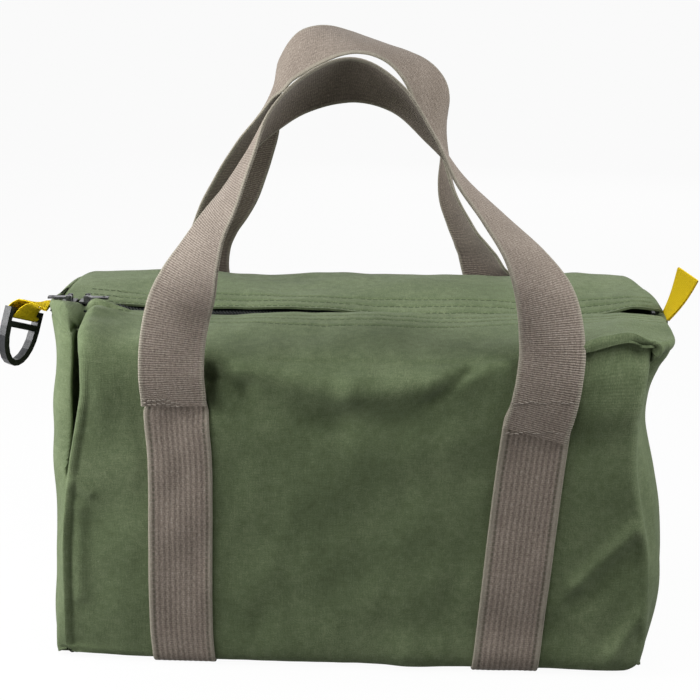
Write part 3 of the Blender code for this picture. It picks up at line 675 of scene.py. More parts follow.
def hard_material(name, dark, pale, roughness, metallic=0.0, scale=180.0, specular=0.5):
    made, tree, shader = nodes_of(name)
    where = add(tree, "ShaderNodeTexCoord").outputs["Object"]
    marks = noise(tree, where, scale, 4.0, 0.6)
    colour = ramp(tree, marks, ((0.35, dark), (0.70, pale)))
    stops = ((0.3, (roughness * 0.8,) * 3), (0.7, (min(roughness * 1.3, 1),) * 3))
    worn = ramp(tree, noise(tree, where, scale * 4, 3.0), stops)
    fine = noise(tree, where, scale * 9, 2.0)
    finish(shader, colour, bump(tree, fine, 0.25, 0.0001), worn, specular)
    fill(shader, {"Metallic": metallic})
    return made


canvas = canvas_material("olive_canvas")
strap_webbing = webbing_material("strap_webbing", 0.17, 0.04, stitched=True)
tape_cloth = plain_cloth("zip_tape_cloth", (0.008, 0.012, 0.012), (0.022, 0.030, 0.028), 0.0007, 0.9, 0.1)
yellow = plain_cloth("yellow_tape", (0.64, 0.42, 0.008), (0.88, 0.66, 0.022), 0.0008, 0.8, 0.08)
coil_plastic = hard_material("coil_nylon", (0.008, 0.010, 0.010), (0.022, 0.026, 0.025), 0.5, specular=0.2)
metal = hard_material("blackened_metal", (0.05, 0.05, 0.055), (0.22, 0.22, 0.23), 0.30, 0.85)
plastic = hard_material("black_moulding", (0.010, 0.011, 0.013), (0.026, 0.028, 0.030), 0.24, 0.0, 90.0, 0.28)
board_plastic = hard_material("board_sheet", (0.03, 0.03, 0.03), (0.06, 0.06, 0.06), 0.6)
thread = plain_cloth("green_thread", (0.040, 0.055, 0.026), (0.10, 0.13, 0.06), 0.0004, 0.8)
web_thread = plain_cloth("taupe_thread", (0.26, 0.22, 0.18), (0.46, 0.41, 0.36), 0.0004, 0.8)

# The walls

EDGE_OUT = 4.5  # from the zip line to the canvas edge
STITCH_ROWS = {FRONT: (12.4, 21.0, 32.0), REAR: (7.5, 15.5, 24.5)}  # out from the zip line


def stitch_levels(side, total):
    """How far up the sheet the rows of stitches along the zip are."""
    return [total - (out - EDGE_OUT) for out in STITCH_ROWS[side]]


def seam_rows(side, profile):
    """The shallow dips that the rows of stitches pull into the cloth."""
    return [(-150.0, row, 186.0, row, 1.2, -0.7) for row in stitch_levels(side, along(profile)[-1])]


# Folds of the front sheet: from a place along the bag and a length up the sheet to another, width and height
FRONT_FOLDS = [*table(6, """
    -30 96 40 96 55 1  # the filled middle of the wall
    -198 20 -194 170 46 -11  # the left third turns away to the end
    206 20 204 170 30 -7
    -58 189 2 182 8 2.6  # the swag of the shoulder, and the slack under it
    2 182 48 184 8 3
    52 186 90 189 8 2
    -56 170 -8 160 13 -3.6
    -8 160 50 164 13 -3.6
    20 126 75 118 32 -2
    -84 170 -82 188 7.5 -7  # pocket beside the left strap
    -80 186 -60 177 6 -3.6
    69 190 48 172 4.5 -4  # hollow beside the right strap
    -166 252 -160 266 3 -4  # groove behind the lobe, along the zip's left end
    -160 266 -150 265.5 2.6 -4
    -150 265.5 -141 262 2.6 -2.5
    -163 273 -142 270 3 1.6
    -156 240 -146 246 9 3.4  # the lobe itself
    -152 214 -148 175 13 3
    -163 120 -153 111 3.6 2  # folds down the left edge
    -160 100 -162 44 5.5 2.4
    174 101 136 62 5.5 2.6  # creases at the lower right corner
    136 62 122 45 6 1.4
    178 88 140 48 8 -1.6
    181 49 159 18 6 3.4
    40 12 172 10 15 3.6
    -40 10 40 12 15 1.6
    168 160 171 112 4 1.6
    174.5 134 177.5 104 2.4 -3.6  # dark crease down the right edge
    177.5 104 179.5 62 2.4 -3.6
    112 185 190 185 4.5 -4.5  # under the lip of the right shoulder
    140 166 168 168 10 2.6
    -45 198.5 0 200.5 1.3 -0.7  # the shoulder seam
    0 200.5 96 195 1.3 -0.7
"""), *seam_rows(FRONT, FRONT_PROFILE)]

REAR_FOLDS = [*table(6, """
    0 95 -30 100 70 1.4
    70 190 78 170 10 -3.5
    -64 194 -50 168 10 -3
    -172 90 -124 44 8 2.2
    150 40 174 90 8 2
    146 212 180 214 22 2.4
    -130 170 -165 150 9 1.8
    -160 198 160 198 1.4 -0.4
"""), *seam_rows(REAR, REAR_PROFILE)]

front_wall = build_wall(FRONT, FRONT_PROFILE, FRONT_STATIONS, FRONT_REACH, FRONT_TOP_REACH, FRONT_FOLDS,
                        ripples(4, 9, 38.0, 120.0, 0.42) + ripples(5, 10, 12.0, 34.0, 0.10))
rear_wall = build_wall(REAR, REAR_PROFILE, REAR_STATIONS, REAR_REACH, REAR_TOP_REACH, REAR_FOLDS,
                       ripples(14, 9, 38.0, 120.0, 0.45) + ripples(15, 10, 12.0, 34.0, 0.10))
WALLS = ((FRONT, front_wall, "front"), (REAR, rear_wall, "rear"))
ENDS = ((LEFT, "left"), (RIGHT, "right"))

# Half the gap between the two canvas edges, by place along the zip
SLIT = table(2, """
    -186 5.2   -152 5   -138 5.4   -96 5   -60 4   -20 2.4   20 1.2   60 0.6   150 0.5   162 0.7
    172 4.5   180 4.9   187 4.9   194 4.6
""")


def along_edges():
    roll = np.linspace(-1, -1 + ROLL_SHARE, 15)
    flat = np.linspace(-1 + ROLL_SHARE, 1 - ROLL_SHARE, 190)
    return np.concatenate([roll[:-1], flat, -roll[::-1][1:]])


# A lip of the top's cloth hangs over the front at the right shoulder
LIP_START, LIP_FULL, LIP_DROP, LIP_OUT, LIP_RUN = 110.0, 142.0, 1.0, 3.6, 14.0
SLIT_PULL = 24  # how far out the cloth is drawn in to the slit


def top_point(wall, s, l):
    """A point of the top's cloth, drawn in to the slit and out over the lip."""
    lip_share = 0.0
    if wall["side"] == FRONT:
        x = wall_point(wall, s, l)[..., 0]
        lip_share = ease(LIP_START, LIP_FULL, x)
        near = np.clip(1 - (l - wall["hinge"]) / LIP_RUN, 0, 1)
        l = l - LIP_DROP * lip_share * near
    p = wall_point(wall, s, l)
    half_gap = smooth_pairs(SLIT, p[..., 0])
    pull = np.clip((l - (wall["total"] - SLIT_PULL)) / SLIT_PULL, 0, 1) ** 2
    p[..., 1] += wall["side"] * (half_gap - EDGE_OUT) * pull
    if wall["side"] == FRONT:
        out = wall_normal(wall, s, l)
        p = p + out * (LIP_OUT * lip_share * (1 - 0.7 * ease(170, 184, x)) * near**1.5)[..., None]
    return p


def grid_normals(p, outward):
    n = np.cross(np.gradient(p, axis=1), np.gradient(p, axis=0))
    flip = np.sum(n * outward, axis=-1).mean() < 0
    return unit(-n if flip else n)


def top_shell(name, wall, end, look):
    """Half of the top, from the shoulder to the zip."""
    total = wall["total"]
    l = finer(spaced(wall["hinge"], total, 1.6), stitch_levels(wall["side"], total), 3.0, 0.7)
    l[-1] = total
    whole = along_edges()
    s = whole[whole <= 0] if end == LEFT else whole[whole >= 0]
    s = np.unique(np.concatenate([s[np.abs(s) > 0.01], [0.0]]))
    grid_s, grid_l = np.meshgrid(s, l)
    p = top_point(wall, grid_s, grid_l)
    n = grid_normals(p, wall_normal(wall, grid_s, grid_l))
    uv = np.stack([p[..., 0], grid_l * wall["side"]], -1)
    return shell(name, p, n, uv, look)


for side, wall, word in WALLS:
    levels = finer(spaced(0, wall["hinge"], 1.9), [5], 6, 0.9)
    piece = wall_shell(word + "_cloth", wall, along_edges(), levels, canvas)
    hold(piece, "bag", "canvas", word + "_panel")


def part_way(piece):
    """A piece whose placing is baked into its mesh."""
    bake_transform(piece)


def follow_flap(piece, nodes=()):
    """A piece that stands for these nodes, which are hidden, with its placing baked into its mesh."""
    if nodes:
        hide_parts(*nodes)
    part_way(piece)


def with_middle(word, kind, label, middle):
    """The nodes that one half stands for: its own, and in the left half the middle one."""
    own = word + kind + "_" + label
    return (own, middle) if label == "left" else (own,)


for side, wall, word in WALLS:
    for end, label in ENDS:
        piece = top_shell(word + "_top_cloth_" + label, wall, end, canvas)
        follow_flap(piece, with_middle(word, "_top", label, word + "_flap"))

# Zip

TAPE_THICK = 0.6
TAPE_BELOW = 2.0
TAPE_HIGHEST = 201.8
DOCK_DROP = 2.8  # the tapes lie lower where a slider stops at the right end
TAPE_CROWN = 0.25
TAPE_ACROSS = (0.4, 1.5, 3.0, 4.5, 6.5, 9.0, 11.5, 14.0)
ZIP_FROM, ZIP_TO = -188.0, 191.0
TOOTH_PITCH = 2.1
TOOTH_SIZE = (1.45, 0.72, 0.95)
TOOTH_OUT, TOOTH_ABOVE = 1.6, 0.55


def tape_height(x):
    front, rear = (profile_at(wall, x, wall["total"])[..., 1] for _, wall, _ in WALLS)
    edge = np.minimum(front, rear)
    return np.minimum(edge, TAPE_HIGHEST) - TAPE_BELOW - DOCK_DROP * ease(156, 170, x)


for side, wall, word in WALLS:
    for end, label in ENDS:
        low, high = (ZIP_FROM, 0.0) if end == LEFT else (0.0, ZIP_TO)
        x = spaced(low, high, 2.5)
        grid_out, grid_x = np.meshgrid(np.array(TAPE_ACROSS), x)
        p = np.stack([grid_x, side * grid_out, tape_height(grid_x)], -1)
        p[..., 2] -= TAPE_CROWN * np.cos(grid_out / TAPE_ACROSS[-1] * math.pi)
        n = np.tile([0.0, 0.0, 1.0], (*x.shape, len(TAPE_ACROSS), 1))
        uv = np.stack([grid_x, grid_out * side], -1)
        piece = shell(word + "_zip_tape_" + label, p, n, uv, tape_cloth, TAPE_THICK)
        follow_flap(piece, with_middle(word, "_tape", label, word + "_tape_middle"))

        shift = 0.0 if side == FRONT else TOOTH_PITCH / 2
        x = np.arange(low + 2.0 + shift, high - 0.5, TOOTH_PITCH)
        centres = np.stack([x, np.full(len(x), side * TOOTH_OUT), tape_height(x) + TOOTH_ABOVE], -1)
        runs, ups = (np.tile(way, (len(x), 1)) for way in ([0.0, 1.0, 0.0], [0.0, 0.0, 1.0]))
        piece = beads(word + "_zip_teeth_" + label, centres, runs, ups, TOOTH_SIZE, coil_plastic)
        follow_flap(piece, with_middle(word, "_coil", label, word + "_coil_middle"))

STITCH_PITCH = 4.0
STITCH_SIZE = (1.45, 0.42, 0.30)
STITCH_FROM, STITCH_TO = {FRONT: -146.0, REAR: -172.0}, 176.0
STITCH_OFF = 0.05  # from the cloth to the middle of a stitch
STITCH_SHIFT = 1.3  # from one row to the next


def stitch_row(wall, l, x):
    level = np.full(len(x), l)
    s = s_of_x(wall, x, level)
    step = 0.004
    run = unit(top_point(wall, s + step, level) - top_point(wall, s - step, level))
    n = wall_normal(wall, s, level)
    return top_point(wall, s, level) + n * STITCH_OFF, run, n


for side, wall, word in WALLS:
    for end, label in ENDS:
        low, high = (STITCH_FROM[side], 0.0) if end == LEFT else (0.0, STITCH_TO)
        parts = []
        for number, level in enumerate(stitch_levels(side, wall["total"])):
            x = np.arange(low + number * STITCH_SHIFT + 2, high - 1, STITCH_PITCH)
            parts.append(stitch_row(wall, level, x))
        centres, runs, ups = (np.concatenate(v) for v in zip(*parts))
        piece = beads(word + "_top_stitches_" + label, centres, runs, ups, STITCH_SIZE, thread)
        follow_flap(piece)

# Ends and base


def end_plan(count, text):
    """Rows up an end, set apart by semicolons: lengths up the front and rear sheets and a height,
    then count points from the front seam round to the rear one. Points of two numbers have the
    row's height."""
    rows = []
    for row in text.split(";"):
        front_l, rear_l, height, *rest = (float(v) for v in row.split())
        points = np.reshape(rest, (count, -1))
        if points.shape[1] == 2:
            points = np.column_stack([points, np.full(count, height)])
        rows.append((front_l, rear_l, points.ravel()))
    return [np.array(column) for column in zip(*rows)]


LEFT_END = end_plan(8, """
    0 0 2.2   -176.5 -83  -177.3 -77  -178 -70  -178.5 -62  -179 -42  -179 0  -178.5 45  -178 80;
    11 11 10   -177 -82  -178.5 -75  -179.8 -68  -180.5 -60  -181.5 -42  -182.5 0  -180.5 45  -179 80;
    42 42 40   -174.5 -81  -177.5 -73  -180 -66  -181.5 -58  -183.5 -42  -186 0  -181.5 45  -179 80;
    72 72 70   -173 -79  -176.5 -71  -179 -64  -181 -57  -184.5 -40  -187.5 0  -182.5 45  -179 80;
    102 102 100   -168 -70  -171.5 -60  -173.5 -56  -175 -54  -183 -40  -188.5 0  -183 45  -179 80;
    137 137 135   -163.5 -56  -168.2 -34  -170.2 -42  -168.5 -55  -179 -46  -189 0  -183.5 45  -179 80;
    168 168 166   -162 -55  -167 -34  -169.5 -41  -167.3 -55  -178.5 -45  -189 0  -183.5 45  -179 79;
    190 192 187   -161.5 -54 184  -166.5 -34 185  -169 -40 186.5  -167 -53 187  -177.5 -44 188
       -189.5 0 189  -184 44 190  -180 76 190;
    204 206 197   -161.5 -52 188  -166 -36 190  -168.5 -38 193  -168.5 -48 194.5  -178 -38 196.5
       -190 0 198  -184.5 42 199  -181 68 199;
    224 222 203   -162.5 -46 191  -167 -38 195.5  -170 -36 199  -173.5 -35 201.5  -180.5 -26 203
       -189.8 -2 202  -184 36 203  -182 55 203;
    245 243 205   -164 -36 194  -168.5 -31 200  -173 -27 204  -177.5 -22 206  -182.5 -14 205.8
       -187.5 -4 204.5  -184 22 203.6  -184 34 203.6;
    263 265 204   -166 -20 198  -169.5 -18 202.5  -173.5 -16 205.3  -178 -14 206.2  -182.5 -10 205.4
       -186.5 -2 203  -187 6 202  -185.5 16 202.5;
    274 285 203   -168 -5.6 200.5  -171 -5.5 202.6  -174.5 -5.4 203.3  -178.5 -5.4 203.3
       -182.5 -5 202.6  -187 -2.5 201  -188.5 0 200.5  -186.5 4.5 201
""")
RIGHT_END = end_plan(6, """
    0 0 2.4   177.5 -83  179.5 -72  180.5 -40  180.5 0  180 45  179 80;
    13 13 12   179.5 -80  183 -70  186 -40  187 0  183.5 45  180 80;
    37 37 35   182 -78  187 -68  191.5 -38  193 0  187.5 45  181 80;
    59 59 57   183 -78  188.5 -66  194 -36  195.5 0  188.5 45  181 80;
    86 86 84   178.5 -78  185 -66  191.5 -36  193 0  187.5 45  181 80;
    112 112 110   172.5 -78  179 -66  186 -36  188 0  184.5 45  180 80;
    142 142 140   169.5 -75  174 -62  179.5 -34  182 0  180.5 45  179 80;
    167 167 165   168 -71  174.5 -60  179.5 -36  178.5 0  178.5 45  178 79;
    185 188 182   168.5 -69 178  180 -57 181  184 -35 182  183 0 183.5  180.5 45 185  179 76 186;
    198 203 190   171 -67 186  185.5 -57 190  189 -34 191  188 0 191.5  184 44 194  180.5 70 197;
    218 220 195   180 -61 192  188.5 -52 195.5  191 -30 196.5  190.5 0 196.5  187.5 40 198.5  184 60 201;
    244 246 198   186 -36 194  189 -28 196  190.5 -14 198  191 2 198.2  190 24 200  188.5 38 202;
    274 285 199   192 -5.5 197.5  192.6 -4 198  192.8 -1.5 198.2  192.8 1.5 198.2  192.6 4 198.5
       192 5.5 199
""")
END_ROWS, END_COLUMNS = 150, 96
SEAM_LEVEL = 196.0  # height of the seam between the left end and the cloth that laps over it
SEAM_WIDTH, SEAM_DIP = 1.1, 1.3


def end_cloth(name, end, plan):
    """The sheet of an end, from one wall's rolled edge round to the other's, and over the top to the zip."""
    levels = np.arange(len(plan[0]), dtype=float)
    at = np.linspace(0, levels[-1], END_ROWS)
    *sheet_l, knots = (smooth_table(levels, column, at) for column in plan)
    knots = knots.reshape(END_ROWS, -1, 3)
    a, b = (wall_point(wall, end, np.clip(l, 0, wall["total"])) for (_, wall, _), l in zip(WALLS, sheet_l))
    p = np.zeros((END_ROWS, END_COLUMNS, 3))
    share = np.linspace(0, 1, END_COLUMNS)
    share = share - 0.10 * np.sin(2 * math.pi * share) / (2 * math.pi) * (1 + share)
    for k in range(END_ROWS):
        line = np.vstack([a[k], knots[k], b[k]])
        reach = along(line)
        p[k] = smooth_table(reach, line, share * reach[-1])
    fade = np.sin(math.pi * share) ** 0.5 * ease(0, 6, np.abs(at - levels[-1]) * 4)[:, None]
    waves = ripples(21 if end == LEFT else 22, 10, 30.0, 110.0, 0.6)
    p[..., 0] += end * ripple(waves, p[..., 1], p[..., 2]) * fade
    outward = np.array([float(end), 0, 0.3])
    n = grid_normals(p, outward)
    if end == LEFT:
        seam = np.exp(-((p[..., 2] - SEAM_LEVEL) / SEAM_WIDTH) ** 2) * ease(-78, -66, p[..., 1])
        p = p - n * (SEAM_DIP * seam)[..., None]
        n = grid_normals(p, outward)
    uv = np.stack([np.tile(along(p[END_ROWS // 2])[None, :], (END_ROWS, 1)), p[..., 2]], -1)
    return shell(name, p, n, uv, canvas)


for (end, name), plan in zip(ENDS, (LEFT_END, RIGHT_END)):
    piece = end_cloth(name + "_end_cloth", end, plan)
    hold(piece, "bag", "canvas", name + "_end_panel", name + "_zip_patch")


BASE_FROM, BASE_TO, BASE_HALF = -176.5, 178.0, 82.5
BASE_HEIGHT, BASE_WAVE = 2.6, 0.4


def base_cloth():
    x, y = np.meshgrid(np.linspace(BASE_FROM, BASE_TO, 90), np.linspace(-BASE_HALF, BASE_HALF, 44))
    wavy = BASE_WAVE * np.sin(x / 23.0) * np.cos(y / 19.0) * np.cos(y / BASE_HALF * math.pi / 2)
    p = np.stack([x, y, BASE_HEIGHT + wavy], -1)
    n = np.tile([0.0, 0.0, -1.0], (*x.shape, 1))
    hold(shell("base_cloth", p, n, p[..., :2], canvas), "bag", "canvas", "base_panel")


base_cloth()

# The rigid pieces keep their solids and get these looks
for look, nodes in (
    (board_plastic, ("base_board",)), (coil_plastic, ("left_end_stop", "right_end_stop")),
    (metal, ("slider_1", "slider_2", "pull_1", "pull_2")), (plastic, ("d_ring",)),
):
    for node in nodes:
        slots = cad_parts[node].data.materials
        slots.clear()
        slots.append(look)

# Webbing

WEB_HALF = 19.0
WEB_THICK = 1.8
RIB_HEIGHT = 0.15
LOOP_RIB_HEIGHT = 0.05
SELVEDGE_WIDTH, SELVEDGE_HEIGHT = 2.4, 0.16
WEB_EDGE_ROUND = 0.9
WEB_CORE_HALF = WEB_THICK / 2 - 0.12
LOWEST = 1.0  # the middle of the webbing under the base


def web_section(half, rib_height):
    """Places across the webbing and how far each face stands out there, with its ribs."""
    u = np.linspace(-half, half, 49)
    inner = half - SELVEDGE_WIDTH
    height = rib_height * (0.5 + 0.5 * np.cos(2 * math.pi * u / (RIB_PITCH / MM))) * (np.abs(u) < inner)
    height = height + SELVEDGE_HEIGHT * (np.abs(u) >= inner)
    edge = np.clip((half - np.abs(u)) / WEB_EDGE_ROUND, 0, 1)
    body = WEB_CORE_HALF * np.sqrt(1 - (1 - edge) ** 2 * 0.75)
    return u, body + height * edge


def web_tube(name, centre_of, rows, half, rib_height, look, v_start=0.0):
    """Webbing whose faces follow centre_of(row, across): a point and the outward normal there."""
    u, out = web_section(half, rib_height)
    p, n = (np.array(v) for v in zip(*(centre_of(k, u) for k in range(rows))))
    off = n * out[:, None]
    made = tube(name, p + off, p - off, u, along(p[:, len(u) // 2]) + v_start / MM, look, 75)
    faces = made.data.attributes.new(INNER_FACE, "FLOAT", "POINT")
    faces.data.foreach_set("value", np.tile(np.repeat((0.0, 1.0), len(u)), rows))
    return made


# Middle of each strap: height, then place along the bag
STRAP_LINE = {
    (FRONT, LEFT): table(2, """
        0 -98   25 -99.3   82 -98.6   121 -97.9   138 -98.2   152 -99.2   176 -99.8"""),
    (FRONT, RIGHT): table(2, """
        0 95   29 97.7   87 102.5   120 105.4   156 109   176 112"""),
    (REAR, LEFT): table(2, """
        0 -98   60 -99.5   120 -101   176 -102"""),
    (REAR, RIGHT): table(2, """
        0 95   60 98   120 100.5   176 102"""),
}
STRAP_HALF = {LEFT: 19.0, RIGHT: 19.8}
STRAP_TOP = 172.0
STRAP_TAPER, STRAP_TAPER_RUN = 0.12, 9
STRAP_OFF = WEB_THICK / 2 + 0.25  # from the cloth to the middle of the webbing
WALL_OF = {FRONT: front_wall, REAR: rear_wall}


def strap_middle(side, end, z):
    return smooth_pairs(STRAP_LINE[side, end], z)


def on_wall(side, x, l):
    """Points of a wall's cloth and the outward normals there."""
    wall = WALL_OF[side]
    x, l = together(x, l)
    s = s_of_x(wall, x, l)
    return wall_point(wall, s, l), wall_normal(wall, s, l)


def length_at_height(side, z, x):
    l = spaced(0.0, 200.0, 0.5)
    return np.interp(z, profile_at(WALL_OF[side], x, l)[:, 1], l)


def strap(name, end):
    """One strap: up the front, under the base and up the rear, on the cloth all the way."""
    top = {}
    for side in (FRONT, REAR):
        l = spaced(1.0, STRAP_TOP, 2.6)
        about = strap_middle(side, end, 90.0)
        middle = strap_middle(side, end, profile_at(WALL_OF[side], about, l)[:, 1])
        top[side] = [(side, one_l, x) for one_l, x in zip(l, middle)]
    x_front, x_rear = (float(strap_middle(side, end, 0.0)) for side in (FRONT, REAR))
    base = [(0, y, x_front + (x_rear - x_front) * (y + 80) / 160) for y in spaced(-79.0, 79.0, 4.0)]
    stations = top[FRONT][::-1] + base + top[REAR]

    def centre_of(k, u):
        side, value, x = stations[k]
        if side == 0:
            p = np.stack([x + u, np.full(len(u), value), np.full(len(u), LOWEST)], -1)
            return p, np.tile([0.0, 0.0, -1.0], (len(u), 1))
        narrow = 1 - STRAP_TAPER * ease(STRAP_TOP - STRAP_TAPER_RUN, STRAP_TOP, value)
        p, n = on_wall(side, x + u * narrow, value)
        p = p + n * STRAP_OFF
        p[:, 2] = np.maximum(p[:, 2], LOWEST)
        return p, n

    return web_tube(name, centre_of, len(stations), STRAP_HALF[end], RIB_HEIGHT, strap_webbing)


for end, label in ENDS:
    piece = strap(label + "_strap_webbing", end)
    hold(piece, "bag", "webbing", label + "_strap")

# The loops from left foot to right foot: the middle of the webbing, then the direction of its width
FRONT_LOOP = table(6, """
    -100.4 -96.6 166 1 0 -0.05   -100.6 -96.2 172 1 0 -0.03   -101.5 -94.4 184 1 0 0.02
    -101 -90.5 202 1 0.02 0   -98 -86 220 1 -0.04 -0.06   -93 -85 235 0.92 -0.34 -0.09
    -87 -84 251 0.72 -0.68 -0.11   -80 -82 267 0.49 -0.86 -0.15   -70 -80 284 0.32 -0.94 -0.12
    -58 -75 308 0.16 -0.98 0.08   -46 -67 327 0.02 -0.89 0.45   -27 -56 342 0.02 -0.75 0.66
    -1 -48 349 0.03 -0.66 0.75   26 -46 338 0.12 -0.83 0.52   46 -50 316 0.06 -0.95 0.3
    63 -54 293 -0.16 -0.97 0.15   83 -61 272 -0.39 -0.92 0.1   101 -71 252 -0.68 -0.73 0.08
    112.5 -80 230 -0.93 -0.36 0.05   116.5 -88 203 -1 -0.07 0.02   115 -93.4 184 -1 0 0.02
    112.5 -96 170 -1 0 0.04   110 -96.7 160 -1 0 0.04   107.8 -96.8 152 -1 0 0.02
""")
REAR_LOOP = table(6, """
    -101 96.4 152 -1 0 0   -101.6 96.4 162 -1 0 -0.04   -102.4 96.2 172 -0.98 -0.05 -0.12
    -105.8 94.7 196.2 -0.82 -0.55 0   -103.5 92.4 215.8 -0.72 -0.67 0.19
    -97.7 89.5 230.7 -0.64 -0.66 0.36   -90.5 86.7 244.5 -0.67 -0.56 0.48
    -83.6 83.5 257.3 -0.66 -0.55 0.5   -77.1 80.4 271.8 -0.61 -0.64 0.46
    -70.7 77.4 285.8 -0.47 -0.75 0.46   -64.4 74.5 299.8 -0.29 -0.83 0.46
    -58.6 72.2 314.6 -0.12 -0.95 0.29   -54.1 70.4 327.3 0.08 -0.97 0.19   -51.1 68.8 335.4 0.31 -0.95 0
    -47 67.2 342.3 0.32 -0.92 -0.21   -41.4 65.4 348.4 0.33 -0.86 -0.39
    -33.2 63.7 354.3 0.33 -0.81 -0.49   -21.1 62.6 358.2 0.25 -0.86 -0.45
    -6.6 62.2 358.8 0.12 -0.95 -0.27   6.5 62.1 356.6 -0.03 -0.99 -0.14   17.4 62 352.8 -0.15 -0.98 -0.1
    26.7 61.8 348.1 -0.33 -0.94 -0.1   34.4 61.5 342.5 -0.47 -0.87 -0.1
    40.8 61.8 335.5 -0.55 -0.82 -0.11   45.8 62.8 326.7 -0.6 -0.79 -0.1
    49.2 64.6 317.2 -0.54 -0.84 -0.05   51.6 66.6 307.9 -0.38 -0.92 0.01
    53.7 68.7 298.7 -0.2 -0.97 0.06   55.6 71 288.9 -0.03 -0.99 0.1   57 73.5 277.9 0.08 -0.99 0.12
    58.3 76.1 267.2 0.17 -0.96 0.19   60.4 78.6 257.4 0.25 -0.93 0.24   63.1 81 248.6 0.29 -0.9 0.29
    66.7 83.3 240 0.32 -0.89 0.3   71 85.6 231.2 0.36 -0.87 0.32   76.2 88.1 222.5 0.45 -0.83 0.32
    80.8 91.5 214.1 0.58 -0.76 0.29   85.4 95 202.2 0.74 -0.59 0.24   96 96.2 178 1 0 0.1
    99.5 96.4 164 1 0 0.04   101 96.4 152 1 0 0
""")
FOOT_OFF = 3.3  # from the wall's cloth to the middle of a foot's webbing
BEND_FROM, BEND_TO = 164.0, 178.0  # a foot bends off the wall between these heights as its loop folds down
CUP_RISE = (14, 60)  # from a foot, where the curl starts and where it is full
LOOP_CUP = 2.6  # how far the loops' edges curl away from their middles
LOOP_MIDDLE = {FRONT: 0.275, REAR: 0.29}  # metres from the left foot to the top of the arch


def loop(name, side, route):
    centres, widths = route[:, :3].copy(), route[:, 3:]
    for k, (x, _, z) in enumerate(centres):
        if z < BEND_TO:
            foot, _ = on_wall(side, x, length_at_height(side, z, x))
            centres[k, 1] = foot[1] + side * FOOT_OFF
    reach = along(centres)
    at = spaced(0, reach[-1], 2.6)
    c = smooth_table(reach, centres, at)
    w = smooth_table(reach, widths, at)
    t = unit(np.gradient(c, axis=0))
    w = square_to(w, t)
    n = np.cross(w, t)
    if n[2, 1] * side < 0:
        n = -n
    cup = LOOP_CUP * ease(*CUP_RISE, at) * ease(*CUP_RISE, reach[-1] - at)

    def centre_of(k, u):
        across = u / WEB_HALF
        p = c[k] + w[k] * u[:, None] + n[k] * (cup[k] * (0.5 - across**2))[:, None]
        return p, unit(n[k] + w[k] * (2 * cup[k] / WEB_HALF * across)[:, None])

    middle = LOOP_START + LOOP_MIDDLE[side]
    look = webbing_material(name + "_look", 0.05, 0.30, arch_at=middle)
    return web_tube(name, centre_of, len(at), WEB_HALF, LOOP_RIB_HEIGHT, look, v_start=LOOP_START)


for (side, _, word), route in zip(WALLS, (FRONT_LOOP, REAR_LOOP)):
    piece = loop(word + "_loop_webbing", side, route)
    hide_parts(word + "_handle", word + "_left_foot", word + "_right_foot")
    part_way(piece)

# Stitches across the feet: side, end, height and lean
FOOT_STITCHES = (
    (FRONT, LEFT, 169.0, -0.06), (FRONT, LEFT, 166.8, -0.06),
    (FRONT, RIGHT, 172.5, 0.03), (FRONT, RIGHT, 154.6, 0.02),
    (REAR, LEFT, 158.0, 0.0), (REAR, RIGHT, 158.0, 0.0), (REAR, LEFT, 154.6, 0.0), (REAR, RIGHT, 154.6, 0.0),
)
FOOT_STITCH_OFF = 4.2
FOOT_STITCH_SIZE = (1.2, 0.4, 0.3)


def foot_stitches(side):
    centres, runs, ups = [], [], []
    for row_side, end, z, lean in FOOT_STITCHES:
        if row_side != side:
            continue
        for k, u in enumerate(spaced(-17.0, 17.0, 2.6)):
            height = z + lean * u + 0.7 * math.sin(5.1 * k)
            x = float(strap_middle(side, end, z)) + u
            p, n = on_wall(side, x, length_at_height(side, height, x))
            centres.append(p + n * FOOT_STITCH_OFF)
            runs.append((1.0, 0.0, lean + 0.25 * math.cos(5.1 * k)))
            ups.append(n)
    return np.array(centres), np.array(runs), np.array(ups)


for side, _, word in WALLS:
    piece = beads(word + "_foot_stitches", *foot_stitches(side), FOOT_STITCH_SIZE, web_thread)
    hold(piece, "bag", "webbing")

# Tabs

TAB_HALF = 10.0
TAB_LAYER = 0.9
TAB_EDGE_ROUND, TAB_RIB_HEIGHT = 0.7, 0.05
LEFT_ROOT = np.array([-191.3, 0.0, 199.0])
LEFT_BAR = LEFT_ROOT + np.array([-16.5, 0.0, -4.5])
LEFT_START_RUN = np.array([-1.0, 0.0, 0.0])
LEFT_END_RUN = unit(np.array([-0.62, 0.10, -0.78]))
LEFT_END_WIDTH = np.array([0.56, 0.74, -0.36])
LEFT_TURN_HASTE = 1.35
LEFT_CLOSED_HALF = 0.6  # from the tab's middle to a layer's at the bag, and round the D-ring's bar
LEFT_OPEN_HALF = math.hypot(1.9, 3.0) + 0.75
RIGHT_ROOT = np.array([192.2, 0.0, 199.0])
RIGHT_LEAN = math.radians(24)
RIGHT_LENGTH = 30.0
RIGHT_END_WIDTH = np.array([-0.47, 0.85, 0.25])
RIGHT_HALF = 0.55  # from the fold's middle to the middle of a layer
RIGHT_BOW = 1.2
ACROSS_BAG = np.array([0.0, 1.0, 0.0])


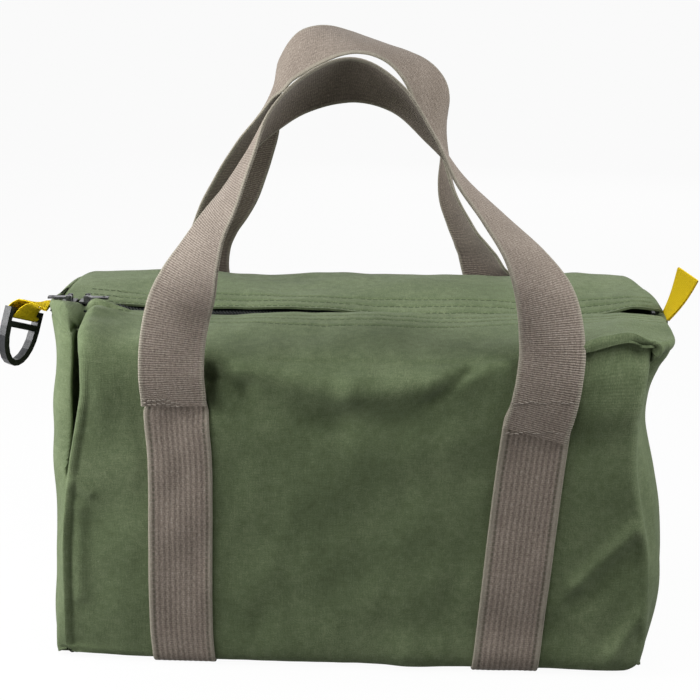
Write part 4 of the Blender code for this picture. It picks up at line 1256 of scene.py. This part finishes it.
def tab_strip(name, route, half, node):
    """A strip of woven tape along a route of middles and widths, a little rounded at its edges."""
    centres, widths = (np.array(v) for v in zip(*route))
    t = unit(np.gradient(centres, axis=0))
    w = square_to(widths, t)
    u = np.linspace(-half, half, 21)
    edge = np.clip((half - np.abs(u)) / TAB_EDGE_ROUND, 0, 1)
    out = TAB_LAYER / 2 * np.sqrt(1 - (1 - edge) ** 2 * 0.7) + TAB_RIB_HEIGHT * np.cos(u * 4.2)
    flat = centres[:, None] + w[:, None] * u[None, :, None]
    off = np.cross(w, t)[:, None] * out[None, :, None]
    hold(tube(name, flat + off, flat - off, u, along(centres), yellow, 60), node, "yellow_webbing", node)


def half_turn(middle, outward, run, radius, width, steps):
    """The route round a tab's end, from its outer layer to its inner one."""
    angles = (math.pi * k / steps for k in range(1, steps))
    return [(middle + (outward * math.cos(a) + run * math.sin(a)) * radius, width) for a in angles]


def left_tab_route():
    reach = np.linalg.norm(LEFT_BAR - LEFT_ROOT)
    end_width = square_to(LEFT_END_WIDTH, LEFT_END_RUN)
    upper, lower = [], []
    for t in np.linspace(0, 1, 19):
        first = LEFT_ROOT + LEFT_START_RUN * reach * t * 0.6
        second = LEFT_BAR - LEFT_END_RUN * reach * (1 - t) * 0.6
        blend = t * t * (3 - 2 * t)
        centre = first + (second - first) * blend
        run = unit(LEFT_START_RUN + (LEFT_END_RUN - LEFT_START_RUN) * blend)
        turn_share = min(blend * LEFT_TURN_HASTE, 1)
        width = square_to(ACROSS_BAG * (1 - turn_share) + end_width * turn_share, run)
        outward = unit(np.cross(width, run))
        if outward[2] < 0:
            outward = -outward
        half = LEFT_CLOSED_HALF + (LEFT_OPEN_HALF - LEFT_CLOSED_HALF) * blend
        upper.append((centre + outward * half, width))
        lower.append((centre - outward * half, width))
    outward = unit(upper[-1][0] - lower[-1][0])
    turn = half_turn(LEFT_BAR, outward, LEFT_END_RUN, LEFT_OPEN_HALF, upper[-1][1], 12)
    return upper + turn + lower[::-1]


def right_tab_route():
    """Folded on itself: up the outer side, over the top and down the inner side."""
    run = np.array([math.sin(RIGHT_LEAN), 0.0, math.cos(RIGHT_LEAN)])
    off = np.array([run[2], 0.0, -run[0]]) * TAB_LAYER
    half = RIGHT_HALF
    length = RIGHT_LENGTH - half
    end_width = square_to(RIGHT_END_WIDTH, run)
    up, down = [], []
    for share in np.linspace(0, 1, 21):
        width = square_to(ACROSS_BAG * (1 - share) + end_width * share, run)
        outward = np.cross(width, run)
        centre = RIGHT_ROOT + off + run * length * share + outward * RIGHT_BOW * math.sin(math.pi * share)
        up.append((centre + outward * half, width))
        down.append((centre - outward * half, width))
    over = half_turn(RIGHT_ROOT + off + run * length, outward, run, half, end_width, 8)
    return up + over + down[::-1]


tab_strip("left_tab_tape", left_tab_route(), TAB_HALF, "left_tab")
tab_strip("right_tab_tape", right_tab_route(), TAB_HALF - 0.2, "right_tab")

# The camera, floor and light

CAMERA_AT = (36.0, -1000.0, 470.0)
CAMERA_YAW, CAMERA_PITCH, CAMERA_ROLL = -2.2, 16.5, 0.4
FOCAL_PIXELS, FRAME_PIXELS = 1662.0, 700.0
SENSOR = 36.0


def add_camera():
    data = bpy.data.cameras.new("camera")
    data.sensor_width = SENSOR
    data.lens = FOCAL_PIXELS / FRAME_PIXELS * SENSOR
    data.clip_start, data.clip_end = 0.05, 30
    made = put("camera", data)
    yaw, pitch, roll = (math.radians(v) for v in (CAMERA_YAW, CAMERA_PITCH, CAMERA_ROLL))
    ahead_flat = Vector((math.sin(yaw), math.cos(yaw), 0))
    side = Vector((math.cos(yaw), -math.sin(yaw), 0))
    upright = Vector((0, 0, 1))
    ahead = ahead_flat * math.cos(pitch) - upright * math.sin(pitch)
    up = upright * math.cos(pitch) + ahead_flat * math.sin(pitch)
    right = side * math.cos(roll) + up * math.sin(roll)
    over = up * math.cos(roll) - side * math.sin(roll)
    turn = Matrix((right, over, -ahead)).transposed().to_4x4()
    made.matrix_world = Matrix.Translation(Vector(place(CAMERA_AT))) @ turn
    bpy.context.scene.camera = made


def area_light(name, at, towards, size, energy):
    data = bpy.data.lights.new(name, "AREA")
    data.shape = "SQUARE"
    data.size = size
    data.energy = energy
    made = put(name, data)
    made.location = at
    made.rotation_euler = (Vector(towards) - Vector(at)).to_track_quat("-Z", "Y").to_euler()


SKY_LEVEL = 0.12
FLOOR_SEEN, FLOOR_LIT = 0.88, 0.22
FLOOR_GLOW_SHARE = 0.95
FLOOR_HALF = 6.0


def rays_that_see(tree):
    """1 for rays that show a thing to the camera, straight, mirrored or through it."""
    rays = add(tree, "ShaderNodeLightPath")
    seen = math_node(tree, "MAXIMUM", rays.outputs["Is Camera Ray"], rays.outputs["Is Glossy Ray"])
    return math_node(tree, "MAXIMUM", seen, rays.outputs["Is Transmission Ray"])


def mix_shaders(tree, share, first, second, surface):
    mixed = fill(add(tree, "ShaderNodeMixShader"), {0: share, 1: first, 2: second})
    tree.links.new(mixed.outputs[0], surface)


def add_world():
    world = bpy.data.worlds.new("studio")
    bpy.context.scene.world = world
    world.use_nodes = True
    tree = world.node_tree
    tree.nodes.clear()
    out = add(tree, "ShaderNodeOutputWorld")
    soft, white = (
        fill(add(tree, "ShaderNodeBackground"), {"Color": (1, 1, 1, 1), "Strength": level})
        for level in (SKY_LEVEL, 1.0)
    )
    mix_shaders(tree, rays_that_see(tree), soft.outputs[0], white.outputs[0], out.inputs["Surface"])


def add_floor():
    mesh = bpy.data.meshes.new("floor")
    corners = [(x * FLOOR_HALF, y * FLOOR_HALF, 0) for x, y in ((-1, -1), (1, -1), (1, 1), (-1, 1))]
    mesh.from_pydata(corners, [], [(0, 1, 2, 3)])
    floor = put("floor", mesh)
    made, tree, shader = nodes_of("pale_floor")
    seen = rays_that_see(tree)
    level = mix_colour(tree, seen, (FLOOR_LIT,) * 3, (FLOOR_SEEN,) * 3)
    fill(shader, {"Base Color": level, "Roughness": 0.9, "Specular IOR Level": 0.0})
    glow = fill(add(tree, "ShaderNodeEmission"), {"Strength": 1.0})
    share = math_node(tree, "MULTIPLY", seen, FLOOR_GLOW_SHARE)
    surface = tree.nodes["Material Output"].inputs["Surface"]
    mix_shaders(tree, share, shader.outputs[0], glow.outputs[0], surface)
    mesh.materials.append(made)


bpy.context.scene.view_settings.view_transform = "Standard"
add_camera()
add_world()
add_floor()
BAG_MIDDLE = (0.0, 0.0, 0.12)
area_light("overhead", (-0.45, 0.10, 1.0), BAG_MIDDLE, 0.7, 2.8)
area_light("left", (-0.62, -0.17, 0.42), BAG_MIDDLE, 0.4, 4.9)
area_light("front", (-1.0, -1.1, 0.4), BAG_MIDDLE, 0.7, 3.5)
area_light("right", (0.54, -0.14, 0.56), (0.1, 0.0, 0.1), 0.35, 3.1)
area_light("back", (0.25, 1.45, 0.55), (0.0, 0.08, 0.12), 0.8, 2.6)
